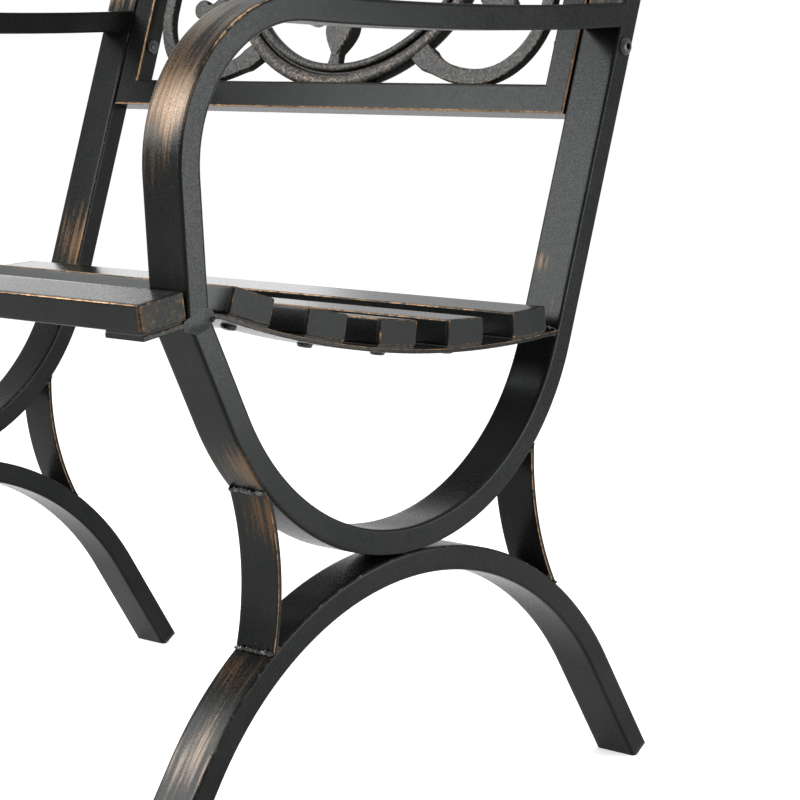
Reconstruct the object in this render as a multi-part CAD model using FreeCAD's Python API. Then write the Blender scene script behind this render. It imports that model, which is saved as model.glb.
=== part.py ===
import FreeCAD, Part
import math
import os

# A garden armchair of bent rectangular steel tube with a cast scroll back.
# Millimetres and degrees. z is up from the floor, the front faces -y, x runs across the seat.
# Each side frame is drawn in the side plane: y to the back, z up, arch axis at y = 0.

# Side frame tube
frame_width = 650.0
tube_width = 40.0
tube_depth = 20.0
tube_wall = 1.5
tube_corner = 2.0

# Leg arch, square-cut feet
arch_radius = 272.0
arch_bend = 56.8
arch_leg = 106.0
foot_flange = 3.0
foot_plug_depth = 22.0
foot_sole_flat = 2.0
plug_clearance = 0.2

# Post tube: front leg, round bottom and reclined back post in one bend
u_radius = 200.0
u_setback = -18.0
leg_slope = 63.4
post_slope = 72.0
post_length = 536.0
post_cap_thickness = 3.0
post_cap_crown = 2.0
weld_gap = 0.3

# Curved braces between the post tube and the arch
brace_radius = 222.0
brace_thickness = 3.6
brace_head_angle = 47.1
brace_foot_angle = 36.1

# Seat bar: front lip, crest and dish, measured on its top face
bar_thickness = 3.5
bar_height = 427.3
lip_slope = 8.9
lip_reach = 53.0
lip_tail = 1.0
crest_radius = 30.0
dish_slope = 18.2
dish_radius = 923.0

# Arm tube
arm_lean = 3.8
arm_rise = 97.5
arm_bend_radius = 111.3
arm_dip = 2.85
arm_sweep_radius = 4150.0
sweep_overshoot = 1.3

# Seat slats and their fixings
slat_width = 42.0
slat_height = 20.5
slat_wall = 1.2
slat_corner = 1.5
slat_count = 6
last_slat_gap = 15.3
slat_arm_gap = 2.0
first_slat_offset = 24.3
slat_cap_thickness = 4.0
slat_cap_bolt_gap = 2.0
spacer_thickness = 2.0
spacer_radius = 8.0
seat_gap = 0.05
seat_bolt_radius = 3.0
seat_bolt_head_radius = 6.0
seat_bolt_head_height = 4.0
insert_radius = 5.0
insert_height = 6.0
bolt_hole_clearance = 0.3
thread_clearance = 0.1
bolt_projection = 2.0
button_round = 0.8

# Back frame of rectangular tube, bolted between the posts
back_tube = 25.0
back_wall = 1.5
back_corner = 1.5
back_drop = 13.1
back_opening = 282.0
back_side_gap = 2.5
back_bolt_inset = 61.4
back_bolt_radius = 4.0
back_bolt_head_radius = 7.5
back_bolt_head_height = 4.5
back_nut_radius = 7.0
back_nut_height = 6.0

# Cast panel: grooved oval, four scrolls and a four-leaf motif
cast_thickness = 9.0
cast_forward = 1.4
land_depth = 0.4
ring_end_radius = 162.0
ring_half_width = 148.0
ring_band = 24.0
ring_sink = 5.0
ring_back = 6.0
ring_shoulder = 1.5
outer_bead_share = 0.56
outer_bead_rise = 5.0
groove_width = 3.0
groove_depth = 1.5
scroll_band = 15.5
scroll_start = 102.0
scroll_outer_radius = 66.0
scroll_side_gap = 12.0
scroll_rise = 20.0
scroll_over_radius = 38.0
scroll_lead_radius = 115.0
scroll_curl_radius = 22.0
scroll_curl_turn = 110.0
scroll_tip_radius = 9.5
leaf_thickness = 15.0
leaf_half_width = 16.5
leaf_neck = 5.5
leaf_stem = 8.0
leaf_neck_height = 7.0
leaf_belly_height = 34.0
leaf_length = 92.0
leaf_tip = 4.0
leaf_shoulder = 13.0
leaf_flank = 13.5
curl_band = 12.0
curl_start = 29.0
curl_heading = 45.0
curl_radius = 22.5
curl_drop = 26.0
lobe_radius = 14.0
boss_radius = 22.0

# Worked-out places
half_tube = tube_depth / 2
side_x = (frame_width - tube_width) / 2
reach = 4 * arch_radius
origin = FreeCAD.Vector(0, 0, 0)
x_axis = FreeCAD.Vector(1, 0, 0)
z_axis = FreeCAD.Vector(0, 0, 1)


def sine(angle):
    return math.sin(math.radians(angle))


def cosine(angle):
    return math.cos(math.radians(angle))


def side_point(y, z):
    """A point of the side plane."""
    return FreeCAD.Vector(0, y, z)


class Route:
    """Straight runs and tangent arcs in the side plane, started at a point with a heading."""

    def __init__(self, y, z, heading):
        self.y = y
        self.z = z
        self.heading = heading
        self.runs = []

    def line(self, length):
        """Runs straight on."""
        step = side_point(length * cosine(self.heading), length * sine(self.heading))
        self.runs.append({"y": self.y, "z": self.z, "heading": self.heading, "step": step})
        self.y += step.y
        self.z += step.z
        return self

    def arc(self, radius, turn):
        """Turns left by a positive angle, or right by a negative one."""
        side = math.copysign(radius, turn)
        centre = side_point(self.y - side * sine(self.heading), self.z + side * cosine(self.heading))
        run = {"y": self.y, "z": self.z, "heading": self.heading, "centre": centre, "turn": turn}
        self.runs.append(run)
        self.heading += turn
        self.y = centre.y + side * sine(self.heading)
        self.z = centre.z - side * cosine(self.heading)
        return self


def section(width, low, high, corner=0.0):
    """Face across a route, from low to high on the route's left, with rounded corners."""
    half = width / 2 - corner
    corners = [(-half, low + corner), (half, low + corner), (half, high - corner), (-half, high - corner)]
    points = [FreeCAD.Vector(x, y, 0) for x, y in corners]
    face = Part.Face(Part.makePolygon(points + points[:1]))
    if corner > 0:
        face = face.makeOffset2D(corner)
    return face


def sweep(route, face):
    """Carries a section along a route."""
    solids = []
    for run in route.runs:
        start = face.copy()
        start.rotate(origin, x_axis, run["heading"] + 90)
        start.translate(side_point(run["y"], run["z"]))
        if "step" in run:
            solids.append(start.extrude(run["step"]))
        else:
            solids.append(start.revolve(run["centre"], x_axis, run["turn"]))
    body = solids[0]
    if len(solids) > 1:
        body = body.multiFuse(solids[1:]).removeSplitter()
    return single(body)


def single(shape):
    """The one solid of a shape."""
    solids = shape.Solids
    if len(solids) != 1:
        raise ValueError("expected one solid, got %d" % len(solids))
    return solids[0]


def tube(route, width, depth, wall, corner):
    """Hollow rectangular tube along a route, open at both ends."""
    half = depth / 2
    outer = sweep(route, section(width, -half, half, corner))
    inner = sweep(route, section(width - 2 * wall, wall - half, half - wall))
    return single(outer.cut(inner))


def frame_tube(route):
    """Side frame tube along a route."""
    return tube(route, tube_width, tube_depth, tube_wall, tube_corner)


def left_side(y, z, heading):
    """Everything on the left of a line in the side plane."""
    block = Part.makeBox(reach, 2 * reach, reach, FreeCAD.Vector(-reach / 2, -reach, 0))
    block.rotate(origin, x_axis, heading)
    block.translate(side_point(y, z))
    return block


def across(radius, y, z, length=None):
    """Cylinder lying along x, centred on the side plane."""
    span = reach if length is None else length
    return Part.makeCylinder(radius, span, FreeCAD.Vector(-span / 2, y, z), x_axis)


def placed(shape, y, z, heading):
    """A shape drawn on y forward, z up, set at a point of the side plane with a heading."""
    copy = shape.copy()
    copy.rotate(origin, x_axis, heading)
    copy.translate(side_point(y, z))
    return copy


def button_head(radius, height):
    """Domed bolt head that sits under z = 0."""
    head = Part.makeCylinder(radius, height, FreeCAD.Vector(0, 0, -height))
    rim = [edge for edge in head.Edges if edge.BoundBox.ZMax < -height / 2]
    return head.makeFillet(button_round * height, rim)


# Leg arch
arch_centre_z = (arch_leg + foot_flange) * sine(arch_bend) - foot_sole_flat
arch_centre_z += (half_tube - arch_radius) * cosine(arch_bend)
foot_y = arch_radius * sine(arch_bend) + arch_leg * cosine(arch_bend)
foot_z = arch_centre_z + arch_radius * cosine(arch_bend) - arch_leg * sine(arch_bend)


def leg_arch():
    """Inverted U of tube, symmetric front to back."""
    route = Route(-foot_y, foot_z, arch_bend)
    return frame_tube(route.line(arch_leg).arc(arch_radius, -2 * arch_bend).line(arch_leg))


def tube_plug(flange, depth):
    """Plug on y = 0 with its flange towards -y and its body inside the tube."""
    slack = tube_wall + plug_clearance
    cover = section(tube_width, -half_tube, half_tube, tube_corner)
    body = section(tube_width - 2 * slack, slack - half_tube, half_tube - slack)
    solids = []
    for face, length in ((cover, -flange), (body, depth)):
        face.rotate(origin, x_axis, 90)
        solids.append(face.extrude(side_point(length, 0)))
    return single(solids[0].fuse(solids[1]).removeSplitter())


def foot_plug(front):
    """Foot plug, with its lowest edge trimmed level with the floor."""
    plug = tube_plug(foot_flange, foot_plug_depth)
    plug = placed(plug, -foot_y, foot_z, arch_bend)
    plug = single(plug.cut(left_side(0, 0, 180)))
    if not front:
        plug = plug.mirror(origin, FreeCAD.Vector(0, 1, 0))
    return plug


# Post tube
contact = u_radius + arch_radius + tube_depth + weld_gap
u_centre_z = arch_centre_z + math.sqrt(contact ** 2 - u_setback ** 2)
leg_start_y = u_setback - u_radius * sine(leg_slope)
leg_start_z = u_centre_z - u_radius * cosine(leg_slope)
leg_run = (bar_height - leg_start_z) / sine(leg_slope)
arm_foot_y = leg_start_y - leg_run * cosine(leg_slope)
post_base_y = u_setback + u_radius * sine(post_slope)
post_base_z = u_centre_z - u_radius * cosine(post_slope)
post_top_y = post_base_y + post_length * cosine(post_slope)
post_top_z = post_base_z + post_length * sine(post_slope)
post_front_y = post_base_y - half_tube * sine(post_slope)
post_front_z = post_base_z + half_tube * cosine(post_slope)


def post_tube():
    """Front leg, round bottom and back post, cut under the seat bar and drilled for the back bolts."""
    spare = tube_depth
    top_y = arm_foot_y - spare * cosine(leg_slope)
    top_z = bar_height + spare * sine(leg_slope)
    route = Route(top_y, top_z, -leg_slope).line(leg_run + spare)
    body = frame_tube(route.arc(u_radius, leg_slope + post_slope).line(post_length))
    under_y = arm_foot_y + bar_thickness * sine(lip_slope)
    under_z = bar_height - bar_thickness * cosine(lip_slope)
    cut_away = left_side(under_y, under_z, lip_slope)
    body = body.cut(cut_away.common(left_side(u_setback, 0, 90)))
    for hole in back_bolt_holes():
        body = body.cut(hole)
    return single(body)


def post_cap():
    """Cap of the back post with a low crown."""
    cap = tube_plug(post_cap_thickness, foot_plug_depth)
    crown_radius = (half_tube ** 2 + post_cap_crown ** 2) / (2 * post_cap_crown)
    crown = across(crown_radius, crown_radius - post_cap_crown - post_cap_thickness, 0, tube_width)
    side = section(tube_width, -half_tube, half_tube, tube_corner)
    side.rotate(origin, x_axis, 90)
    side.translate(side_point(-post_cap_thickness, 0))
    crown = crown.common(side.extrude(side_point(-post_cap_crown, 0)))
    cap = single(cap.fuse(crown).removeSplitter())
    return placed(cap, post_top_y, post_top_z, post_slope + 180)


# Arm tube
def arm_tube():
    """Arm support, bend and gently dished arm, cut on the seat bar and on the post."""
    foot_length = tube_depth
    route = Route(arm_foot_y + foot_length * sine(arm_lean), bar_height - foot_length, 90 + arm_lean)
    route.line(foot_length + arm_rise).arc(arm_bend_radius, -90 - arm_lean - arm_dip)
    span = post_front_y + (route.z - post_front_z) / math.tan(math.radians(post_slope)) - route.y
    turn = sweep_overshoot * math.degrees(span / arm_sweep_radius)
    body = frame_tube(route.arc(arm_sweep_radius, turn))
    body = body.cut(left_side(arm_foot_y, bar_height, lip_slope + 180))
    body = body.cut(left_side(post_front_y, post_front_z, post_slope + 180))
    return single(body)


# Braces
def brace(side):
    """Curved flat brace, concave outwards; side is -1 at the front and 1 at the back."""
    outer_u = u_radius + half_tube + weld_gap
    outer_arch = arch_radius + half_tube + weld_gap
    head_y = u_setback + side * outer_u * sine(brace_head_angle)
    head_z = u_centre_z - outer_u * cosine(brace_head_angle)
    base_y = side * outer_arch * sine(brace_foot_angle)
    base_z = arch_centre_z + outer_arch * cosine(brace_foot_angle)
    chord = math.hypot(head_y - base_y, head_z - base_z)
    bearing = math.degrees(math.atan2(head_z - base_z, head_y - base_y))
    half_turn = math.degrees(math.asin(chord / 2 / brace_radius))
    spare = math.degrees(2 * brace_thickness / brace_radius)
    start = bearing + side * half_turn
    lead = Route(base_y, base_z, start).arc(brace_radius, side * spare)
    route = Route(lead.y, lead.z, lead.heading).arc(brace_radius, -side * 2 * (half_turn + spare))
    low = min(side, 0) * brace_thickness
    body = sweep(route, section(tube_width, low, low + brace_thickness))
    body = body.cut(across(outer_u, u_setback, u_centre_z))
    body = body.cut(across(outer_arch, 0, arch_centre_z))
    return single(body)


# Seat bar
def bar_route():
    """Top face of the seat bar up to the start of its dish."""
    tip_y = arm_foot_y - lip_reach * cosine(lip_slope)
    tip_z = bar_height - lip_reach * sine(lip_slope)
    route = Route(tip_y, tip_z, lip_slope).line(lip_reach + half_tube + lip_tail)
    return route.arc(crest_radius, -lip_slope - dish_slope)


def dish_turn():
    """Angle that the dish turns through between the crest and the post's front face."""
    crest = bar_route()
    ahead_y = post_front_y - crest.y + dish_radius * sine(crest.heading)
    ahead_z = post_front_z - crest.z - dish_radius * cosine(crest.heading)
    ahead = ahead_y * sine(post_slope) - ahead_z * cosine(post_slope)
    return post_slope - math.degrees(math.acos(ahead / dish_radius)) - crest.heading


def seat_places():
    """Point and heading on the bar's top face under the middle of each slat, front to back."""
    front = half_tube + slat_arm_gap + slat_width / 2
    last_slat_offset = dish_radius * math.radians(dish_turn()) - last_slat_gap - slat_width / 2
    slat_pitch = (last_slat_offset - first_slat_offset) / (slat_count - 2)
    places = [(arm_foot_y - front * cosine(lip_slope), bar_height - front * sine(lip_slope), lip_slope)]
    for index in range(slat_count - 1):
        offset = first_slat_offset + index * slat_pitch
        dish = bar_route().arc(dish_radius, math.degrees(offset / dish_radius))
        places.append((dish.y, dish.z, dish.heading))
    return places


def seat_bar():
    """Flat bar under the slats, cut on the post and drilled for the seat bolts."""
    route = bar_route().arc(dish_radius, sweep_overshoot * dish_turn())
    body = sweep(route, section(tube_width, -bar_thickness, 0))
    body = body.cut(left_side(post_front_y, post_front_z, post_slope + 180))
    for y, z, heading in seat_places():
        body = body.cut(placed(seat_bolt_hole(), y, z, heading))
    return single(body)


def seat_bolt_hole():
    """Drill for one seat bolt, drawn on the bar's top face."""
    radius = seat_bolt_radius + bolt_hole_clearance
    depth = 2 * (bar_thickness + spacer_thickness)
    return Part.makeCylinder(radius, 2 * depth, FreeCAD.Vector(0, 0, -depth))


# Seat slats and fixings, drawn on the bar's top face
slat_seat = spacer_thickness + seat_gap
slat_length = frame_width - 2 * slat_cap_thickness
slat_cap_depth = tube_width / 2 - slat_cap_thickness - insert_radius - slat_cap_bolt_gap


def lengthwise(face, start, length):
    """Extrudes a slat section along x. The section's own x becomes the slat's depth."""
    turned = face.copy()
    turned.rotate(origin, x_axis, 90)
    turned.rotate(origin, z_axis, 90)
    turned.translate(FreeCAD.Vector(start, 0, 0))
    return turned.extrude(FreeCAD.Vector(length, 0, 0))


def slat():
    """Rectangular tube slat with a bolt hole near each end."""
    top = slat_seat + slat_height
    outer = section(slat_width, slat_seat, top, slat_corner)
    inner = section(slat_width - 2 * slat_wall, slat_seat + slat_wall, top - slat_wall)
    body = lengthwise(outer, -slat_length / 2, slat_length)
    body = body.cut(lengthwise(inner, -slat_length / 2, slat_length))
    for x in (-side_x, side_x):
        hole = seat_bolt_hole()
        hole.translate(FreeCAD.Vector(x, 0, 0))
        body = body.cut(hole)
    return single(body)


def slat_cap(side):
    """End cap of a slat: a flush cover and a body inside the tube."""
    slack = slat_wall + plug_clearance
    top = slat_seat + slat_height
    cover = section(slat_width, slat_seat, top, slat_corner)
    body = section(slat_width - 2 * slack, slat_seat + slack, top - slack)
    start = slat_length / 2
    cap = lengthwise(cover, start, slat_cap_thickness)
    cap = single(cap.fuse(lengthwise(body, start - slat_cap_depth, slat_cap_depth)).removeSplitter())
    if side < 0:
        cap = cap.mirror(origin, x_axis)
    return cap


def spacer():
    """Washer between the seat bar and a slat."""
    base = FreeCAD.Vector(0, 0, seat_gap)
    ring = Part.makeCylinder(spacer_radius, spacer_thickness, base)
    return single(ring.cut(seat_bolt_hole()))


def insert_nut():
    """Threaded insert inside a slat."""
    base = FreeCAD.Vector(0, 0, slat_seat + slat_wall)
    body = Part.makeCylinder(insert_radius, insert_height, base)
    return single(body.cut(Part.makeCylinder(seat_bolt_radius + thread_clearance, insert_height, base)))


def seat_bolt():
    """Button-head bolt from under the seat bar into the insert."""
    top = slat_seat + slat_wall + insert_height + bolt_projection
    base = FreeCAD.Vector(0, 0, -bar_thickness - seat_gap)
    shank = Part.makeCylinder(seat_bolt_radius, top - base.z, base)
    head = button_head(seat_bolt_head_radius, seat_bolt_head_height)
    head.translate(base)
    return single(shank.fuse(head).removeSplitter())


def seat_fixings(piece):
    """A copy of a fixing under both ends of every slat."""
    copies = []
    for y, z, heading in seat_places():
        for x in (-side_x, side_x):
            copy = piece.copy()
            copy.translate(FreeCAD.Vector(x, 0, 0))
            copies.append(placed(copy, y, z, heading))
    return Part.makeCompound(copies)


# Back frame, drawn with x across, y up the posts from the lower rail's top, z forwards
back_height = back_opening + 2 * back_tube
back_start = post_length - back_drop - back_height
back_base_y = post_base_y + (back_start + back_tube) * cosine(post_slope)
back_base_z = post_base_z + (back_start + back_tube) * sine(post_slope)
back_half_width = frame_width / 2 - tube_width - back_side_gap
panel_half_width = back_half_width - back_tube
panel_half_height = back_opening / 2


def on_back(shape):
    """Sets a shape drawn in the back's own plane on the chair."""
    return placed(shape, back_base_y, back_base_z, post_slope)


def back_member(length):
    """Rectangular tube along x, as deep as the posts."""
    half = back_tube / 2
    outer = lengthwise(section(tube_depth, -half, half, back_corner), -length / 2, length)
    hollow = section(tube_depth - 2 * back_wall, back_wall - half, half - back_wall)
    body = outer.cut(lengthwise(hollow, -length / 2, length))
    body.rotate(origin, x_axis, 90)
    return body


def mitre(body, length):
    """Cuts both ends of a member at 45 degrees, shorter on its +y side."""
    for side in (-1, 1):
        corner = FreeCAD.Vector(side * length / 2, -back_tube / 2, -reach / 2)
        outline = [corner, corner + FreeCAD.Vector(-side * 2 * back_tube, 2 * back_tube, 0)]
        outline.append(corner + FreeCAD.Vector(side * back_tube, 2 * back_tube, 0))
        wedge = Part.Face(Part.makePolygon(outline + outline[:1]))
        body = body.cut(wedge.extrude(FreeCAD.Vector(0, 0, reach)))
    return single(body)


def back_rail(upper):
    """Lower or upper rail of the back frame."""
    length = 2 * back_half_width
    rail = mitre(back_member(length), length)
    if upper:
        rail.rotate(origin, z_axis, 180)
    y = back_opening + back_tube / 2 if upper else -back_tube / 2
    rail.translate(FreeCAD.Vector(0, y, 0))
    return on_back(rail)


def back_stile(side):
    """Upright of the back frame, drilled for its two bolts."""
    stile = mitre(back_member(back_height), back_height)
    stile.rotate(origin, z_axis, 90 * side)
    x = side * (panel_half_width + back_tube / 2)
    stile.translate(FreeCAD.Vector(x, panel_half_height, 0))
    body = on_back(stile)
    for hole in back_bolt_holes():
        body = body.cut(hole)
    return single(body)


def back_bolt_places():
    """Points of the side plane that the back bolts cross."""
    places = []
    for along in (back_start + back_bolt_inset, back_start + back_height - back_bolt_inset):
        y = post_base_y + along * cosine(post_slope)
        z = post_base_z + along * sine(post_slope)
        places.append((y, z))
    return places


def back_bolt_holes():
    """Drills across the posts and stiles."""
    return [across(back_bolt_radius + bolt_hole_clearance, y, z) for y, z in back_bolt_places()]


def back_bolts():
    """Button-head bolts from the outer face of each post through the stile."""
    inner = panel_half_width - back_nut_height - bolt_projection
    shank = Part.makeCylinder(back_bolt_radius, frame_width / 2 - inner, FreeCAD.Vector(0, 0, inner))
    head = button_head(back_bolt_head_radius, back_bolt_head_height)
    head.rotate(origin, x_axis, 180)
    head.translate(FreeCAD.Vector(0, 0, frame_width / 2))
    return across_both_sides(single(shank.fuse(head).removeSplitter()))


def back_nuts():
    """Hexagon nuts against the inner faces of the stiles."""
    base = panel_half_width - back_nut_height
    corners = [FreeCAD.Vector(back_nut_radius * cosine(60 * i), back_nut_radius * sine(60 * i), base)
               for i in range(7)]
    nut = Part.Face(Part.makePolygon(corners)).extrude(FreeCAD.Vector(0, 0, back_nut_height))
    bore = Part.makeCylinder(back_bolt_radius + thread_clearance, reach)
    return across_both_sides(single(nut.cut(bore)))


def across_both_sides(piece):
    """Copies a fixing drawn along z to every back bolt, pointing out to each side."""
    copies = []
    for y, z in back_bolt_places():
        for side in (-1, 1):
            copy = piece.copy()
            copy.rotate(origin, FreeCAD.Vector(0, 1, 0), 90 * side)
            copy.translate(side_point(y, z))
            copies.append(copy)
    return Part.makeCompound(copies)


# Cast panel, drawn in the back's own plane about its own middle
ring_half_height = panel_half_height + ring_sink - ring_band / 2
ring_rise = ring_end_radius - ring_half_height
ring_slack = ring_end_radius - ring_half_width
ring_shift = (ring_rise ** 2 - ring_slack ** 2) / (2 * ring_slack)
ring_side_radius = ring_half_width - ring_shift
ring_share = math.degrees(math.atan2(ring_shift, ring_rise))


def ring_section():
    """Section of the oval: a broad outer bead, a groove and a narrow inner bead."""
    outer = ring_band / 2
    split = outer - outer_bead_share * ring_band
    inner_bead = (split - groove_width + outer) / 2
    low = FreeCAD.Vector(-outer, 0, -ring_back)
    points = [
        (FreeCAD.Vector(outer, 0, ring_shoulder), FreeCAD.Vector(split, 0, ring_shoulder), outer_bead_rise),
        (FreeCAD.Vector(split, 0, ring_shoulder),
         FreeCAD.Vector(split - groove_width, 0, ring_shoulder), -groove_depth),
        (FreeCAD.Vector(split - groove_width, 0, ring_shoulder),
         FreeCAD.Vector(-outer, 0, ring_shoulder), inner_bead),
    ]
    edges = [Part.makeLine(low, FreeCAD.Vector(outer, 0, -ring_back))]
    edges.append(Part.makeLine(FreeCAD.Vector(outer, 0, -ring_back), points[0][0]))
    for start, end, rise in points:
        middle = (start + end) / 2 + FreeCAD.Vector(0, 0, rise)
        edges.append(Part.Arc(start, middle, end).toShape())
    edges.append(Part.makeLine(points[-1][1], low))
    return Part.Face(Part.Wire(edges))


def ring():
    """Oval of four tangent arcs about the panel's middle."""
    end = 2 * ring_share
    side = 180 - end
    arcs = [
        (0, ring_rise, ring_end_radius, 270 - ring_share, end),
        (ring_shift, 0, ring_side_radius, ring_share - 90, side),
        (0, -ring_rise, ring_end_radius, 90 - ring_share, end),
        (-ring_shift, 0, ring_side_radius, 90 + ring_share, side),
    ]
    solids = []
    for x, y, radius, start, turn in arcs:
        face = ring_section()
        face.translate(FreeCAD.Vector(radius, 0, 0))
        face.rotate(origin, z_axis, start)
        solid = face.revolve(origin, z_axis, turn)
        solid.translate(FreeCAD.Vector(x, y, 0))
        solids.append(solid)
    return solids[0].multiFuse(solids[1:])


def disc(radius, thickness, x, y):
    """Round plate centred on the panel's middle plane."""
    return Part.makeCylinder(radius, thickness, FreeCAD.Vector(x, y, -thickness / 2))


def band(route, width):
    """Flat cast band along a route drawn with y across and z up the panel."""
    flat = sweep(route, section(cast_thickness, -width / 2, width / 2))
    flat.rotate(origin, FreeCAD.Vector(1, 1, 1), 240)
    return flat


def scroll():
    """Lower right scroll: from the oval to the rail, up beside the stile and over into a curl."""
    low = scroll_band / 2 - land_depth - panel_half_height
    turn_y = panel_half_width - scroll_side_gap - scroll_band / 2 - scroll_outer_radius
    lead = math.degrees(math.asin((turn_y - scroll_start) / scroll_lead_radius))
    start_z = low + scroll_lead_radius * (1 - cosine(lead))
    route = Route(scroll_start, start_z, -lead).arc(scroll_lead_radius, lead)
    route.arc(scroll_outer_radius, 90).line(scroll_rise).arc(scroll_over_radius, 180)
    route.arc(scroll_curl_radius, scroll_curl_turn)
    tip = disc(scroll_tip_radius, cast_thickness, route.y, route.z)
    return [band(route, scroll_band), tip]


def leaf(base):
    """Leaf on a stem, from the oval's inner edge at y = -base up to the boss."""
    points = [
        (leaf_stem, -base),
        (leaf_neck, leaf_neck_height - base),
        (leaf_half_width, leaf_belly_height - base),
        (leaf_tip, leaf_length - base),
        (leaf_tip, 0),
    ]
    middles = {1: leaf_shoulder, 2: leaf_flank}
    right = []
    for index in range(len(points) - 1):
        start = FreeCAD.Vector(points[index][0], points[index][1], 0)
        end = FreeCAD.Vector(points[index + 1][0], points[index + 1][1], 0)
        if index in middles:
            middle = FreeCAD.Vector(middles[index], (start.y + end.y) / 2, 0)
            right.append(Part.Arc(start, middle, end).toShape())
        else:
            right.append(Part.makeLine(start, end))
    left = [edge.mirror(origin, x_axis) for edge in right]
    bottom = Part.makeLine(FreeCAD.Vector(-leaf_stem, -base, 0), FreeCAD.Vector(leaf_stem, -base, 0))
    top = Part.makeLine(FreeCAD.Vector(-leaf_tip, 0, 0), FreeCAD.Vector(leaf_tip, 0, 0))
    face = Part.Face(Part.Wire(Part.__sortEdges__(right + left + [bottom, top])))
    face.translate(FreeCAD.Vector(0, 0, -leaf_thickness / 2))
    return face.extrude(FreeCAD.Vector(0, 0, leaf_thickness))


def curl():
    """Lower right curl of the motif, drooping from the stem to a round lobe."""
    route = Route(0, -curl_start, curl_heading).arc(curl_radius, -90 - curl_heading).line(curl_drop)
    return [band(route, curl_band), disc(lobe_radius, leaf_thickness, route.y, route.z)]


def motif():
    """Four leaves from the oval to a boss, with a curl in each corner between them."""
    upright = leaf(ring_half_height - ring_band / 2 + land_depth)
    sideways = leaf(ring_half_width - ring_band / 2 + land_depth)
    sideways.rotate(origin, z_axis, 90)
    return [upright, sideways, disc(boss_radius, leaf_thickness, 0, 0)]


def cast_panel():
    """One casting, symmetric both ways, with flat lands against the rails."""
    quarter = scroll() + curl() + motif()
    half = quarter + [piece.mirror(origin, x_axis) for piece in quarter]
    whole = half + [piece.mirror(origin, FreeCAD.Vector(0, 1, 0)) for piece in half]
    body = ring().multiFuse(whole).removeSplitter()
    size = FreeCAD.Vector(2 * panel_half_width, back_opening, reach)
    opening = Part.makeBox(size.x, size.y, size.z, size / -2)
    body = single(body.common(opening))
    body.translate(FreeCAD.Vector(0, panel_half_height, cast_forward))
    return on_back(body)


# Assembly
def assemble():
    """Every piece of the chair by name."""
    pieces = {}
    one_side = {
        "post_tube": post_tube(),
        "post_cap": post_cap(),
        "arm_tube": arm_tube(),
        "leg_arch": leg_arch(),
        "front_brace": brace(-1),
        "rear_brace": brace(1),
        "seat_bar": seat_bar(),
        "front_foot": foot_plug(True),
        "rear_foot": foot_plug(False),
    }
    for name, x in (("left", -side_x), ("right", side_x)):
        for piece, shape in one_side.items():
            pieces[name + "_" + piece] = shape.translated(FreeCAD.Vector(x, 0, 0))
    for number, (y, z, heading) in enumerate(seat_places(), start=1):
        pieces["slat_%d" % number] = placed(slat(), y, z, heading)
    for name, side in (("left", -1), ("right", 1)):
        caps = [placed(slat_cap(side), y, z, heading) for y, z, heading in seat_places()]
        pieces[name + "_slat_caps"] = Part.makeCompound(caps)
        pieces["back_%s_stile" % name] = back_stile(side)
    pieces["seat_spacers"] = seat_fixings(spacer())
    pieces["seat_insert_nuts"] = seat_fixings(insert_nut())
    pieces["seat_bolts"] = seat_fixings(seat_bolt())
    pieces["back_lower_rail"] = back_rail(False)
    pieces["back_upper_rail"] = back_rail(True)
    pieces["back_bolts"] = back_bolts()
    pieces["back_nuts"] = back_nuts()
    pieces["cast_panel"] = cast_panel()
    return pieces


def export(pieces):
    """Sets the origin on the floor under the middle of the chair and writes one file per piece."""
    box = Part.makeCompound(list(pieces.values())).optimalBoundingBox()
    shift = FreeCAD.Vector(0, -(box.YMin + box.YMax) / 2, 0)
    os.makedirs("parts", exist_ok=True)
    for name, shape in pieces.items():
        shape.translated(shift).exportStep("parts/%s.step" % name)
    print("moved along y by %.3f" % shift.y)
    print("overall %.1f x %.1f x %.1f" % (box.XLength, box.YLength, box.ZLength))


export(assemble())
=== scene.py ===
import logging
import math
from dataclasses import dataclass, replace
from enum import Enum
from typing import Callable, Optional, Sequence, Union

import bpy
import numpy as np
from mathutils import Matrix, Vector


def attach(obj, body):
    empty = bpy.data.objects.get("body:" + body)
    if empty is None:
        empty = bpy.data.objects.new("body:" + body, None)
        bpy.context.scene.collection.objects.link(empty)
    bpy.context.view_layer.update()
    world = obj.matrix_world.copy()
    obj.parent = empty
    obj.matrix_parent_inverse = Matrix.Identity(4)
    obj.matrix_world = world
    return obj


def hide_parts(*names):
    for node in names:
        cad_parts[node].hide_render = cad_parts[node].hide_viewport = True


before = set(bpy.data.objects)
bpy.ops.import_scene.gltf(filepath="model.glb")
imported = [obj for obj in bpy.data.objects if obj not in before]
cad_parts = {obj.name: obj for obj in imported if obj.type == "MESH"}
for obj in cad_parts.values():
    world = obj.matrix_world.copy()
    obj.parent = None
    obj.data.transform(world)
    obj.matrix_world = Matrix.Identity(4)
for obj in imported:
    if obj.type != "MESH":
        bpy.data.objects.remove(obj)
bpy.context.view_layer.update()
log = logging.getLogger("garden_armchair")

MM = 0.001
FRAME_SHIFT = -26.315 * MM
Array = np.ndarray
Size = Union[float, Array]
Cut = Callable[[Array, Array], Array]
Colour = tuple[float, float, float, float]
PAINT_NAMES = ("rim", "brush", "pale")
END_RING_SHARE = 0.9
SHARP_ANGLE = 38


def sine(angle: Size) -> Size:
    """Sine of an angle in degrees."""
    return np.sin(np.radians(angle))


def cosine(angle: Size) -> Size:
    """Cosine of an angle in degrees."""
    return np.cos(np.radians(angle))


class Side(Enum):
    """The two side frames, by the sign of x."""

    LEFT = -1
    RIGHT = 1


class Face(Enum):
    """Sides of a swept bar: left and right of its route, and the two faces across it."""

    ROUTE_LEFT = "route_left"
    ROUTE_RIGHT = "route_right"
    PLUS = "plus"
    MINUS = "minus"


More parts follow.
